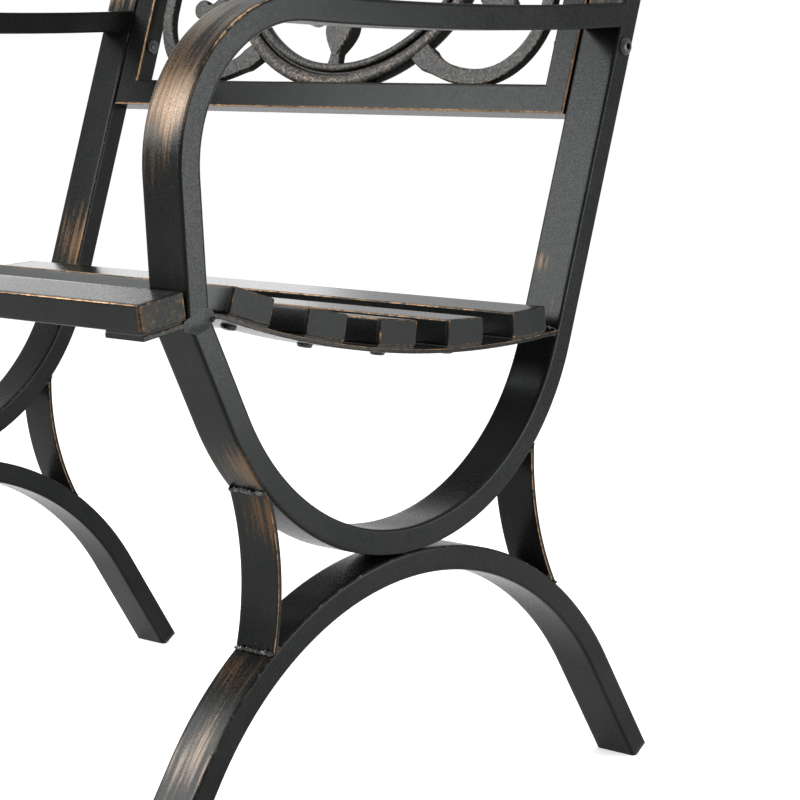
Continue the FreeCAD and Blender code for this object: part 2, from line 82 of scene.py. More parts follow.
class Slot(Enum):
    """Material slots of the record."""

    TUBE = "brushed_bronze_paint"
    CAST = "cast_bronze_paint"
    PLASTIC = "black_plastic"
    STEEL = "black_steel"


@dataclass(frozen=True)
class Plane:
    """Drawing plane: a point is origin + a * first + b * second, and across is first x second."""

    origin: tuple[float, float, float]
    first: tuple[float, float, float]
    second: tuple[float, float, float]

    def direction(self, a: Array, b: Array) -> Array:
        """Vector a * first + b * second for every entry."""
        return a[..., None] * np.array(self.first) + b[..., None] * np.array(self.second)

    def lift(self, a: Array, b: Array) -> Array:
        """Point of the plane in the chair's frame."""
        return np.array(self.origin) + self.direction(a, b)

    def across(self) -> Array:
        """Unit vector square to the plane."""
        return np.cross(self.first, self.second)


@dataclass(frozen=True)
class Trace:
    """Sampled route: places, tangents, left-hand normals, the across vector and the run length."""

    points: Array
    tangents: Array
    lefts: Array
    across: Array
    along: Array


class Route:
    """Straight runs and tangent arcs in a plane, sampled as they are drawn."""

    def __init__(self, plane: Plane, a: float, b: float, heading: float, spacing: float = 6 * MM) -> None:
        """Starts a route.

        Args:
            plane: Plane that the route lies in.
            a: Start along the plane's first axis.
            b: Start along its second axis.
            heading: Direction in degrees from the first axis.
            spacing: Largest step between samples.
        """
        self.plane = plane
        self.spacing = spacing
        self.places = np.array([[a, b, heading, 0.0]])

    @property
    def end(self) -> Array:
        """Last sample as a, b, heading and run length."""
        return self.places[-1]

    def line(self, length: float) -> "Route":
        """Runs straight on.

        Args:
            length: Length of the run.

        Returns:
            The route itself.
        """
        a, b, heading, along = self.end
        step = np.linspace(0, length, max(2, math.ceil(length / self.spacing)) + 1)[1:]
        rows = [a + step * cosine(heading), b + step * sine(heading), np.full_like(step, heading),
                along + step]
        self.places = np.vstack([self.places, np.stack(rows, 1)])
        return self

    def arc(self, radius: float, turn: float) -> "Route":
        """Turns left by a positive angle or right by a negative one, on a circle.

        Args:
            radius: Radius of the route's line.
            turn: Angle in degrees.

        Returns:
            The route itself.
        """
        a, b, heading, along = self.end
        side = math.copysign(radius, turn)
        length = abs(math.radians(turn)) * radius
        count = max(2, math.ceil(length / self.spacing), math.ceil(abs(turn) / 3))
        share = np.linspace(0, 1, count + 1)[1:]
        angle = heading + share * turn
        rows = [a + side * (sine(angle) - sine(heading)), b - side * (cosine(angle) - cosine(heading)),
                angle, along + share * length]
        self.places = np.vstack([self.places, np.stack(rows, 1)])
        return self

    def trace(self) -> Trace:
        """Gives every sample its directions in the chair's frame.

        Returns:
            The sampled route.
        """
        a, b, heading, along = self.places.T
        tangents = self.plane.direction(cosine(heading), sine(heading))
        lefts = self.plane.direction(-sine(heading), cosine(heading))
        return Trace(self.plane.lift(a, b), tangents, lefts, self.plane.across(), along)


@dataclass(frozen=True)
class Profile:
    """Closed section. A point is share * half size + offset, across and to the left; normals point out.

    The rim has a column for each corner, which is 1 in the middle of its round, half where the flats
    start and 0 at the next point.
    """

    share: Array
    offset: Array
    normal: Array
    rim: Array
    corner: float


def box_profile(corner: float, steps: int = 4) -> Profile:
    """Rounded rectangle: four quarter circles joined by flats with five points each.

    Args:
        corner: Corner radius.
        steps: Faces round each corner.

    Returns:
        Section whose sizes are given later, so that it can widen along a route.
    """
    share, offset, normal, rim = [], [], [], []
    flat = np.array([0.86, 0.45, 0.0, -0.45, -0.86])
    for quarter in range(4):
        turn = np.linspace(0, 90, steps + 1) + 90 * quarter
        out = np.stack([cosine(turn), sine(turn)], 1)
        sign = np.sign(np.array([cosine(45 + 90 * quarter), sine(45 + 90 * quarter)]))
        share.append(np.tile(sign, (steps + 1, 1)))
        offset.append(out * corner)
        normal.append(out)
        peak = np.zeros((steps + 1, 4))
        peak[:, quarter] = 1 - 0.5 * np.abs(np.linspace(-1, 1, steps + 1))
        rim.append(peak)
        last = np.round(out[-1])
        beside = np.array([last[1], -last[0]])
        share.append(np.outer(flat, beside) + last)
        offset.append(np.tile(last * corner, (flat.size, 1)))
        normal.append(np.tile(last, (flat.size, 1)))
        rim.append(np.zeros((flat.size, 4)))
    return Profile(np.vstack(share), np.vstack(offset), np.vstack(normal), np.vstack(rim), corner)


@dataclass(frozen=True)
class Stroke:
    """Place where the paint is brushed back to metal, or where a face is painted lighter or a highlight is
    painted on: a bell curve along one face of a bar.

    Pale is the way from brown bronze to pewter, which on some bars also paints a highlight, and lean is how
    far the stroke keeps to one edge.
    """

    face: Face
    at: float
    spread: float
    strength: float
    pale: float = 0.0
    lean: float = 0.0

    def amount(self, along: Array, profile: Profile) -> Array:
        """Strength * exp(-((along - at) / spread)^2) * facing * (1 + lean * side), with side from -1 to 1.

        Args:
            along: Run lengths, n entries.
            profile: Section with m points.

        Returns:
            n by m amounts.
        """
        across, left = profile.normal.T
        ways = {Face.ROUTE_LEFT: left, Face.ROUTE_RIGHT: -left, Face.PLUS: across, Face.MINUS: -across}
        facing = ways[self.face]
        side = profile.share[:, 0 if self.face in (Face.ROUTE_LEFT, Face.ROUTE_RIGHT) else 1]
        bell = self.strength * np.exp(-((along - self.at) / self.spread) ** 2)
        return np.outer(bell, np.clip(facing, 0, 1) * np.clip(1 + self.lean * side, 0, 2))


@dataclass(frozen=True)
class Paintwork:
    """Rubbed places of a bar, some strokes of which paint highlights or lighter fronts: strokes on its faces,
    its four long edges, and the edge and face of its end.

    The edge run is the middle and spread of a bell over which the long edges are worn, or nothing where
    they are worn all along.
    """

    strokes: Sequence[Stroke] = ()
    edges: tuple[float, float, float, float] = (0.2, 0.2, 0.2, 0.2)
    edge_run: Optional[tuple[float, float]] = None
    end_edge: float = 0.0
    end_face: float = 0.0


@dataclass(frozen=True)
class Shell:
    """Closed skin: points, four-sided faces with their run coordinates, end faces and paint amounts."""

    points: Array
    quads: Array
    coords: Array
    caps: list[Array]
    cap_coords: list[Array]
    paint: Array


def skin(rings: Array, along: Array, paint: Array, loop: bool = False, end_face: float = 0.0) -> Shell:
    """Joins rings of points into a closed skin that faces outwards.

    Face (i, j) joins ring i to ring i + 1 between points j and j + 1. Each end gets one more ring, nine
    tenths of its size and clean of edge wear, and one face. The skin is turned over if its enclosed volume,
    the sum of p0 . (p1 x p2) / 6, is negative.

    Args:
        rings: n by m by 3 points.
        along: Run length of each ring.
        paint: Edge wear, bronze amount and paleness, n by m by 3, where the bronze amount also makes the
            casting's fronts lighter than its sides, as painted shade, and paleness also paints highlights.
        loop: Whether the last ring joins the first.
        end_face: Wear on the last end's face.

    Returns:
        The skin.
    """
    if not loop:
        inner = [ring.mean(0) + END_RING_SHARE * (ring - ring.mean(0)) for ring in (rings[0], rings[-1])]
        clean = [paint[0] * (0, 1, 1), paint[-1] * (0, 1, 1) + (end_face, 0, 0)]
        rings = np.concatenate([inner[:1], rings, inner[1:]])
        paint = np.concatenate([clean[:1], paint, clean[1:]])
        along = np.concatenate([along[:1], along, along[-1:]])
    n, m = rings.shape[:2]
    index = np.arange(n * m).reshape(n, m)
    width = np.linalg.norm(np.roll(rings[n // 2], -1, 0) - rings[n // 2], axis=1)
    around = np.concatenate([[0], np.cumsum(width)])
    here = index if loop else index[:-1]
    ahead = np.roll(index, -1, 0) if loop else index[1:]
    start = along if loop else along[:-1]
    stop = np.append(along[1:], 2 * along[-1] - along[-2]) if loop else along[1:]
    quads = np.stack([here, np.roll(here, -1, 1), np.roll(ahead, -1, 1), ahead], -1).reshape(-1, 4)
    shape = (len(start), m)
    low, high = np.broadcast_to(start[:, None], shape), np.broadcast_to(stop[:, None], shape)
    near, far = np.broadcast_to(around[:-1], shape), np.broadcast_to(around[1:], shape)
    pairs = [np.stack(pair, -1) for pair in ((low, near), (low, far), (high, far), (high, near))]
    coords = np.stack(pairs, 2).reshape(-1, 4, 2)
    points = rings.reshape(-1, 3)
    caps, cap_coords = [], []
    if not loop:
        first, last = (np.stack([np.full(m, run), around[:-1]], 1) for run in (along[0], along[-1]))
        caps = [index[0][::-1], index[-1]]
        cap_coords = [first[::-1], last]
    corner = points[quads]
    volume = np.einsum("ij,ij->", corner[:, 0], np.cross(corner[:, 1], corner[:, 2]))
    volume += np.einsum("ij,ij->", corner[:, 0], np.cross(corner[:, 2], corner[:, 3]))
    for cap in caps:
        fan = points[cap]
        volume += np.sum(np.cross(fan[1:-1], fan[2:]) @ fan[0])
    if volume < 0:
        quads, coords = quads[:, ::-1], coords[:, ::-1]
        caps, cap_coords = [cap[::-1] for cap in caps], [item[::-1] for item in cap_coords]
    return Shell(points, quads, coords, caps, cap_coords, paint.reshape(-1, 3))


def column(value: Size, count: int) -> Array:
    """A number or one value per ring as a column of that many rows."""
    return np.broadcast_to(np.asarray(value, float).reshape(-1, 1), (count, 1))


def sweep(trace: Trace, profile: Profile, half_across: Size, low: Size, high: Size,
          work: Paintwork = Paintwork(), start: Optional[Cut] = None, stop: Optional[Cut] = None,
          loop: bool = False) -> Shell:
    """Carries a section along a route: point = place + x * across + y * left.

    Where both ends of a straight route are cut, the rings between them are spread evenly from end to end.

    Args:
        trace: Sampled route.
        profile: Section.
        half_across: Half the section's size across the route's plane.
        low: Section's limit to the right of the route, as a negative number.
        high: Its limit to the left.
        work: Rubbed places, and strokes that paint highlights or lighter fronts.
        start: Moves the first ring along its tangent onto a surface.
        stop: Moves the last ring likewise.
        loop: Whether the route closes on itself.

    Returns:
        The skin.
    """
    count = len(trace.points)
    half, bottom, top = (column(value, count) for value in (half_across, low, high))
    x = profile.share[:, 0] * (half - profile.corner) + profile.offset[:, 0]
    flat = (top - bottom) / 2 - profile.corner
    y = (top + bottom) / 2 + profile.share[:, 1] * flat + profile.offset[:, 1]
    rings = trace.points[:, None] + x[..., None] * trace.across + y[..., None] * trace.lefts[:, None]
    if start:
        rings[0] = start(rings[0], trace.tangents[0])
    if stop:
        rings[-1] = stop(rings[-1], trace.tangents[-1])
    if start and stop and np.allclose(trace.tangents, trace.tangents[0]):
        rings = rings[:1] + (trace.along / trace.along[-1])[:, None, None] * (rings[-1:] - rings[:1])
    bells = [stroke.amount(trace.along, profile) for stroke in work.strokes]
    brush = sum(bells, np.zeros(x.shape))
    # Paleness: brushed pewter, and a painted highlight where strokes were laid on lit parts.
    pale = sum((stroke.pale * bell for stroke, bell in zip(work.strokes, bells)), np.zeros(x.shape))
    middle, spread = work.edge_run or (0.0, math.inf)
    rim = np.outer(np.exp(-((trace.along - middle) / spread) ** 2), profile.rim @ np.array(work.edges))
    rim[-2:] = np.maximum(rim[-2:], work.end_edge)
    paint = np.stack([rim, np.clip(brush, 0, 1), pale / np.maximum(brush, 1e-6)], -1)
    return skin(rings, trace.along, paint, loop, work.end_face)


def on_plane(point: Sequence[float], normal: Sequence[float]) -> Cut:
    """Moves points along a tangent onto a plane: p + t * d with (p + t * d - point) . normal = 0.

    Args:
        point: Point of the plane.
        normal: Its normal.

    Returns:
        Function of points and a tangent.
    """
    def cut(points: Array, tangent: Array) -> Array:
        """Points moved onto the plane."""
        miss = (np.array(point) - points) @ np.array(normal)
        return points + np.outer(miss / (tangent @ np.array(normal)), tangent)
    return cut


def on_cylinder(y: float, z: float, radius: float) -> Cut:
    """Moves points along a tangent onto the nearer side of a cylinder that lies along x.

    Solves |p + t * d - centre| = radius in the side plane for the t nearer to 0.

    Args:
        y: Place of the axis.
        z: Height of the axis.
        radius: Radius of the cylinder.

    Returns:
        Function of points and a tangent.
    """
    def cut(points: Array, tangent: Array) -> Array:
        """Moves points onto the cylinder.

        Args:
            points: Points of a ring.
            tangent: Direction that they move along.

        Returns:
            The moved points.
        """
        off = points[:, 1:] - np.array([y, z])
        half = off @ tangent[1:]
        rest = np.maximum(half ** 2 - np.sum(off ** 2, 1) + radius ** 2, 0)
        near, far = -half - np.sqrt(rest), -half + np.sqrt(rest)
        step = np.where(np.abs(near) < np.abs(far), near, far)
        return points + np.outer(step, tangent)
    return cut


def turned(centre: Array, axis: Array, beside: Array, radius: Array, height: Array, count: int = 48,
           flats: Optional[Array] = None, brush: Optional[Array] = None) -> Shell:
    """Body of revolution: centre + height * axis + radius * (cos t * beside + sin t * (axis x beside)).

    Args:
        centre: Point on the axis.
        axis: Unit axis.
        beside: Unit vector square to it.
        radius: Radius of each ring.
        height: Height of each ring.
        count: Points round it.
        flats: 1 for rings that are hexagons with that inner radius, 0 for circles.
        brush: Bronze amount of each ring, which on the casting's lobes also makes the fronts lighter than the
            round sides, as painted shade on the sides.

    Returns:
        The skin.
    """
    turn = np.linspace(0, 360, count, endpoint=False)
    hexagon = 1 / cosine((turn % 60) - 30)
    share = np.zeros(len(radius)) if flats is None else flats
    reach = radius[:, None] * (1 + share[:, None] * (hexagon - 1))
    spokes = np.outer(cosine(turn), beside) + np.outer(sine(turn), np.cross(axis, beside))
    rings = np.array(centre) + height[:, None, None] * np.array(axis) + reach[..., None] * spokes
    along = np.concatenate([[0], np.cumsum(np.hypot(np.diff(radius), np.diff(height)))])
    amount = np.zeros(len(radius)) if brush is None else brush
    return skin(rings, along, np.multiply.outer(amount, np.tile((0.0, 1.0, 0.0), (count, 1))))


def button(centre: Array, out: Array, beside: Array, radius: float, height: float, socket: float,
           power: float = 1.0) -> Shell:
    """Bolt head: a base disc, a dome radius * cos(t)^power by height * sin(t), and a hexagon socket.

    Args:
        centre: Middle of its seat.
        out: Unit vector away from the seat.
        beside: Unit vector square to it.
        radius: Head radius.
        height: Head height.
        socket: Inner radius of the hexagon.
        power: 1 for a round dome, and less for a flatter head.

    Returns:
        The skin.
    """
    top = math.degrees(math.acos((1.18 * socket / radius) ** (1 / power)))
    dome = np.linspace(0, top, 10)
    rim = np.concatenate([[0.02 * radius, radius, radius], radius * cosine(dome[1:]) ** power,
                          [socket, socket, 0.02 * socket]])
    rise = height * sine(dome[-1])
    high = np.concatenate([[0, 0, 0.12 * height], height * (0.12 + 0.88 * sine(dome[1:])),
                           [0.12 * height + 0.87 * rise, 0.3 * height, 0.27 * height]])
    flats = np.concatenate([np.zeros(12), [1.0, 1.0, 1.0]])
    return turned(centre, out, beside, rim, high, 48, flats)


def bead(plane: Plane, a: float, b: float, half_length: float, radius: float, seed: int) -> Shell:
    """Weld bead across a side frame: an uneven rod along the plane's across vector.

    Radius(t, u) = radius * (1 - t^8)^(1/2) * (1 + 0.3 * lumps(t) + 0.12 * dimples(t, u)), with t from -1 to 1
    along the bead and u round it. The lumps are 2.2 times the mean of six sines of t with frequencies and
    phases from the seed, the dimples are a faster sine of both, and the middle line sways by another such
    mean and by the lumps.

    Args:
        plane: Side plane.
        a: Place along its first axis.
        b: Place along its second axis.
        half_length: Half the bead's length.
        radius: Mean radius.
        seed: Number that sets the unevenness.

    Returns:
        The skin.
    """
    chance = np.random.default_rng(seed)
    t = np.linspace(-1, 1, 81)
    turn = np.linspace(0, 2 * math.pi, 20, endpoint=False)
    waves = np.sin(np.outer(t, chance.uniform(4, 30, 12)) + chance.uniform(0, 2 * math.pi, 12))
    lump, sway = 2.2 * waves[:, :6].mean(1), 2.2 * waves[:, 6:].mean(1)
    dimple = np.sin(t[:, None] * 34 + 2.0 * np.cos(turn + chance.uniform(0, 6)) + 3 * lump[:, None])
    taper = np.sqrt(np.maximum(1 - t ** 8, 0.004))
    girth = radius * taper[:, None] * (1 + 0.3 * lump[:, None] + 0.12 * dimple)
    x = girth * np.cos(turn) + 0.45 * radius * sway[:, None]
    y = girth * np.sin(turn) + 0.2 * radius * lump[:, None]
    centre = plane.lift(np.array(a), np.array(b)) + np.outer(t * half_length, plane.across())
    first, second = np.array(plane.first), np.array(plane.second)
    rings = centre[:, None] + x[..., None] * first + y[..., None] * second
    rim = 0.75 * np.clip(dimple, 0, 1) * np.clip(lump, 0, 1)[:, None]
    return skin(rings, t * half_length, rim[..., None] * (1, 0, 0))


def patch(centre: Sequence[float], out: Sequence[float], long: Sequence[float], reach: tuple[float, float],
          rise: float, seed: int) -> Shell:
    """Ground weld: a low lens on a flat face, rise * (1 - r^2)^(3/2), with a wavy outline.

    Args:
        centre: Middle of the lens on the face.
        out: Unit vector away from the face.
        long: Unit vector of its longer way.
        reach: Half sizes along and square to that.
        rise: Height of its middle.
        seed: Number that sets the outline's phases.

    Returns:
        The skin.
    """
    phase = np.random.default_rng(seed).uniform(0, 2 * math.pi, 3)
    r = np.concatenate([np.linspace(0.02, 1, 14), [1.0]])
    turn = np.linspace(0, 2 * math.pi, 40, endpoint=False)
    wave = 1 + 0.09 * np.sin(2 * turn + phase[0]) + 0.07 * np.sin(3 * turn + phase[1])
    wave = wave + 0.04 * np.sin(7 * turn + phase[2])
    height = rise * np.maximum(1 - r ** 2, 0) ** 1.5
    height[-1] = -0.6 * MM
    wide = np.cross(out, long)
    spokes = np.outer(reach[0] * np.cos(turn) * wave, long) + np.outer(reach[1] * np.sin(turn) * wave, wide)
    rings = np.array(centre) + r[:, None, None] * spokes + height[:, None, None] * np.array(out)
    return skin(rings, r * reach[0], np.zeros(rings.shape))


class Graph:
    """Node tree of one finish, with short helpers for the nodes that it uses."""

    def __init__(self, name: str) -> None:
        """Makes an empty material with a shader and its output.

        Args:
            name: Name of the finish.
        """
        self.material = bpy.data.materials.new(name)
        self.material.use_nodes = True
        self.tree = self.material.node_tree
        self.tree.nodes.clear()
        self.shader = self.tree.nodes.new("ShaderNodeBsdfPrincipled")
        output = self.tree.nodes.new("ShaderNodeOutputMaterial")
        self.tree.links.new(self.shader.outputs[0], output.inputs[0])

    def put(self, socket: bpy.types.NodeSocket, value: object) -> None:
        """Links a socket to another, or sets its value.

        Args:
            socket: Input of a node.
            value: Output of a node, or the value.
        """
        if isinstance(value, bpy.types.NodeSocket):
            self.tree.links.new(value, socket)
        else:
            socket.default_value = value

    def object_place(self) -> bpy.types.NodeSocket:
        """Object coordinates."""
        return self.tree.nodes.new("ShaderNodeTexCoord").outputs["Object"]

    def run_place(self, scale: tuple[float, float, float]) -> bpy.types.NodeSocket:
        """Reads the coordinates along and around a bar.

        Args:
            scale: Number that each coordinate is multiplied by.

        Returns:
            The scaled place.
        """
        source = self.tree.nodes.new("ShaderNodeUVMap")
        source.uv_map = "run"
        node = self.tree.nodes.new("ShaderNodeMapping")
        self.put(node.inputs["Vector"], source.outputs[0])
        node.inputs["Scale"].default_value = scale
        return node.outputs[0]

    def amount(self, name: str) -> bpy.types.NodeSocket:
        """Reads one of the mesh's own numbers.

        Args:
            name: Name of the attribute.

        Returns:
            The number.
        """
        node = self.tree.nodes.new("ShaderNodeAttribute")
        node.attribute_name = name
        return node.outputs["Fac"]

    def noise(self, place: bpy.types.NodeSocket, scale: float, detail: float = 2.0,
              rough: float = 0.5) -> bpy.types.NodeSocket:
        """Fractal noise from 0 to 1.

        Args:
            place: Coordinates that it is read at.
            scale: Its fineness.
            detail: Number of finer layers.
            rough: Share of each finer layer.

        Returns:
            The noise.
        """
        node = self.tree.nodes.new("ShaderNodeTexNoise")
        self.put(node.inputs["Vector"], place)
        node.inputs["Scale"].default_value = scale
        node.inputs["Detail"].default_value = detail
        node.inputs["Roughness"].default_value = rough
        return node.outputs[0]

    def spans(self, value: bpy.types.NodeSocket, low: float, high: float, start: float = 0.0,
              stop: float = 1.0) -> bpy.types.NodeSocket:
        """Smooth step.

        Args:
            value: Value that drives it.
            low: Value where it starts.
            high: Value where it ends.
            start: Result up to the low value.
            stop: Result from the high value on.

        Returns:
            The result.
        """
        node = self.tree.nodes.new("ShaderNodeMapRange")
        node.interpolation_type = "SMOOTHSTEP"
        self.put(node.inputs["Value"], value)
        for name, number in (("From Min", low), ("From Max", high), ("To Min", start), ("To Max", stop)):
            node.inputs[name].default_value = number
        return node.outputs[0]

    def sums(self, operation: str, first: object, second: object) -> bpy.types.NodeSocket:
        """Reckons with two values.

        Args:
            operation: Operation of a Math node.
            first: Its first value.
            second: Its second value.

        Returns:
            The result.
        """
        node = self.tree.nodes.new("ShaderNodeMath")
        node.operation = operation
        self.put(node.inputs[0], first)
        self.put(node.inputs[1], second)
        return node.outputs[0]

    def blend(self, share: object, first: object, second: object) -> bpy.types.NodeSocket:
        """Mixes two colours.

        Args:
            share: Share of the second colour.
            first: First colour.
            second: Second colour.

        Returns:
            The mix.
        """
        node = self.tree.nodes.new("ShaderNodeMix")
        node.data_type = "RGBA"
        for number, value in ((0, share), (6, first), (7, second)):
            self.put(node.inputs[number], value)
        return node.outputs[2]

    def bump(self, height: bpy.types.NodeSocket, strength: float, depth: float,
             under: Optional[bpy.types.NodeSocket] = None) -> bpy.types.NodeSocket:
        """Bends the normal by a height.

        Args:
            height: Height from 0 to 1.
            strength: Share of the bending.
            depth: Real size of the full height.
            under: Normal that is bent further, if any.

        Returns:
            The normal.
        """
        node = self.tree.nodes.new("ShaderNodeBump")
        node.inputs["Strength"].default_value = strength
        node.inputs["Distance"].default_value = depth
        self.put(node.inputs["Height"], height)
        if under is not None:
            self.put(node.inputs["Normal"], under)
        return node.outputs[0]


@dataclass(frozen=True)
class BrushedPaint:
    """Satin black paint with a fine powder grain, brushed back to bronze and pewter along bends and edges,
    where pale strokes also paint highlights on some bars.
    """

    name: str = "brushed_bronze"
    dark: Colour = (0.0042, 0.0048, 0.0045, 1)
    light: Colour = (0.0085, 0.0092, 0.0087, 1)
    dust: Colour = (0.034, 0.034, 0.031, 1)
    umber: Colour = (0.073, 0.04, 0.019, 1)
    bronze: Colour = (0.117, 0.061, 0.026, 1)
    pewter_and_sheen: Colour = (0.172, 0.157, 0.14, 1)
    copper: Colour = (0.33, 0.20, 0.11, 1)
    roughness: float = 0.27
    specular: float = 0.08
    grain: float = 0.24
    speckle: float = 0.08

    def material(self) -> bpy.types.Material:
        """Node tree: powder speckle, grainy streaks along the bar where it is brushed, worn corners, and a
        pale metal colour where strokes paint highlights.

        Returns:
            The material.
        """
        graph = Graph(self.name)
        place = graph.object_place()
        speckle = graph.noise(place, 780, 2.5, 0.6)
        cloud = graph.noise(place, 16, 4, 0.6)
        streak = graph.noise(graph.run_place((11, 190, 1)), 1.0, 4, 0.62)
        fine = graph.noise(graph.run_place((40, 800, 1)), 1.0, 2)
        ragged = graph.noise(place, 190, 4, 0.7)
        patchy = graph.noise(place, 17, 2)
        brush, rim, pale = graph.amount("brush"), graph.amount("rim"), graph.amount("pale")
        uneven = graph.sums("MULTIPLY", graph.sums("SUBTRACT", streak, 0.5), 2.0)
        grainy = graph.sums("MULTIPLY", graph.sums("SUBTRACT", speckle, 0.5), 0.9)
        lifted = graph.sums("ADD", graph.sums("ADD", brush, uneven), grainy)
        lifted = graph.sums("MULTIPLY", graph.spans(lifted, 0.25, 1.05), graph.spans(brush, 0.02, 0.3))
        worn = graph.sums("ADD", rim, graph.sums("MULTIPLY", graph.sums("SUBTRACT", ragged, 0.5), 0.9))
        kept = graph.spans(patchy, 0.28, 0.52, 0.3, 1.0)
        worn = graph.sums("MULTIPLY", graph.spans(worn, 0.42, 0.78), kept)
        bare = graph.sums("MAXIMUM", lifted, worn)
        black = graph.blend(graph.spans(cloud, 0.3, 0.7), self.dark, self.light)
        black = graph.blend(graph.spans(speckle, 0.58, 0.82, 0.0, 0.5), black, self.dust)
        metal = graph.blend(graph.spans(fine, 0.35, 0.65), self.umber, self.bronze)
        # Pale amount turns the metal towards pewter: brushed metal, and a painted highlight where pale
        # strokes lie on lit parts of the arm, post and arch.
        silvery = graph.sums("MULTIPLY", pale, graph.spans(fine, 0.25, 0.6, 0.35, 1.0))
        metal = graph.blend(silvery, metal, self.pewter_and_sheen)
        metal = graph.blend(worn, metal, self.copper)
        shader = graph.shader
        graph.put(shader.inputs["Base Color"], graph.blend(bare, black, metal))
        graph.put(shader.inputs["Metallic"], graph.sums("MULTIPLY", bare, 0.85))
        smooth = graph.spans(speckle, 0.3, 0.7, self.roughness - self.speckle, self.roughness + self.speckle)
        graph.put(shader.inputs["Roughness"], graph.sums("ADD", smooth, graph.sums("MULTIPLY", bare, 0.2)))
        shader.inputs["Specular IOR Level"].default_value = self.specular
        shader.inputs["Specular Tint"].default_value = (0.93, 1.0, 0.97, 1)
        grain = graph.bump(speckle, self.grain, 0.18 * MM)
        scratches = graph.sums("MULTIPLY", streak, lifted)
        graph.put(shader.inputs["Normal"], graph.bump(scratches, 0.3, 0.2 * MM, grain))
        return graph.material


@dataclass(frozen=True)
class CastPaint:
    """Grainy casting: dark paint in the hollows, bronze dry brushing on the high grains and edges, and
    lighter fronts beside sides kept dark as painted shade.
    """

    name: str = "cast_bronze"
    dark: Colour = (0.006, 0.006, 0.0055, 1)
    light: Colour = (0.066, 0.064, 0.06, 1)
    bronze: Colour = (0.24, 0.175, 0.115, 1)
    roughness: float = 0.42

    def material(self) -> bpy.types.Material:
        """Node tree: coarse and fine grain in bump and colour, bronze flecks, thickest along front edges, and
        a lighter grey only on the fronts, so that the sides stay dark as painted shade.

        Returns:
            The material.
        """
        graph = Graph(self.name)
        place = graph.object_place()
        coarse = graph.noise(place, 420, 3, 0.65)
        fine = graph.noise(place, 1300, 2)
        cloud = graph.noise(place, 30, 3)
        rim = graph.amount("rim")
        fleck = graph.sums("ADD", coarse, graph.sums("MULTIPLY", rim, 0.2))
        kept = graph.spans(cloud, 0.35, 0.65, 0.15, 0.7)
        fleck = graph.sums("MULTIPLY", graph.spans(fleck, 0.60, 0.80), kept)
        # Fronts get the lighter grey and the flecks, and the sides stay darkest: the flecks are dry brushing,
        # and the dark sides are painted shade.
        front = graph.spans(graph.amount("brush"), 0.2, 0.9, 0.06, 1.0)
        fleck = graph.sums("MULTIPLY", fleck, front)
        grey = graph.sums("MULTIPLY", graph.spans(coarse, 0.38, 0.66), front)
        black = graph.blend(grey, self.dark, self.light)
        shader = graph.shader
        graph.put(shader.inputs["Base Color"], graph.blend(fleck, black, self.bronze))
        graph.put(shader.inputs["Metallic"], graph.sums("MULTIPLY", fleck, 0.7))
        gloss = graph.spans(fine, 0.3, 0.7, self.roughness - 0.1, self.roughness + 0.1)
        graph.put(shader.inputs["Roughness"], gloss)
        graph.put(shader.inputs["Specular IOR Level"], graph.sums("MULTIPLY", front, 0.25))
        pits = graph.bump(fine, 0.4, 0.3 * MM)
        graph.put(shader.inputs["Normal"], graph.bump(coarse, 0.6, 0.8 * MM, pits))
        return graph.material


@dataclass(frozen=True)
class MouldedBlack:
    """Matte moulded plastic with a fine grain."""

    name: str = "moulded_black"
    dark: Colour = (0.010, 0.010, 0.010, 1)
    light: Colour = (0.022, 0.022, 0.022, 1)
    roughness: float = 0.6

    def material(self) -> bpy.types.Material:
        """Node tree: grain in colour, gloss and bump.

        Returns:
            The material.
        """
        graph = Graph(self.name)
        place = graph.object_place()
        grain = graph.noise(place, 1800, 2)
        scuff = graph.noise(place, 60, 4)
        shader = graph.shader
        scuffed = graph.spans(scuff, 0.3, 0.75)
        graph.put(shader.inputs["Base Color"], graph.blend(scuffed, self.dark, self.light))
        gloss = graph.spans(grain, 0.3, 0.7, self.roughness - 0.08, self.roughness + 0.1)
        graph.put(shader.inputs["Roughness"], gloss)
        shader.inputs["Specular IOR Level"].default_value = 0.2
        graph.put(shader.inputs["Normal"], graph.bump(grain, 0.2, 0.15 * MM))
        return graph.material


@dataclass(frozen=True)
class PlatedBlack:
    """Black plated fasteners: semi-gloss with rubbed flecks."""

    name: str = "plated_black"
    dark: Colour = (0.012, 0.012, 0.013, 1)
    rubbed: Colour = (0.09, 0.085, 0.08, 1)
    roughness: float = 0.36

    def material(self) -> bpy.types.Material:
        """Node tree: rubbed flecks over a dark plating.

        Returns:
            The material.
        """
        graph = Graph(self.name)
        place = graph.object_place()
        rub = graph.spans(graph.noise(place, 520, 4, 0.7), 0.6, 0.8)
        haze = graph.noise(place, 130, 3)
        shader = graph.shader
        graph.put(shader.inputs["Base Color"], graph.blend(rub, self.dark, self.rubbed))
        graph.put(shader.inputs["Metallic"], graph.sums("MULTIPLY", rub, 0.8))
        gloss = graph.spans(haze, 0.3, 0.7, self.roughness - 0.07, self.roughness + 0.1)
        graph.put(shader.inputs["Roughness"], gloss)
        shader.inputs["Specular IOR Level"].default_value = 0.3
        graph.put(shader.inputs["Normal"], graph.bump(haze, 0.1, 0.1 * MM))
        return graph.material


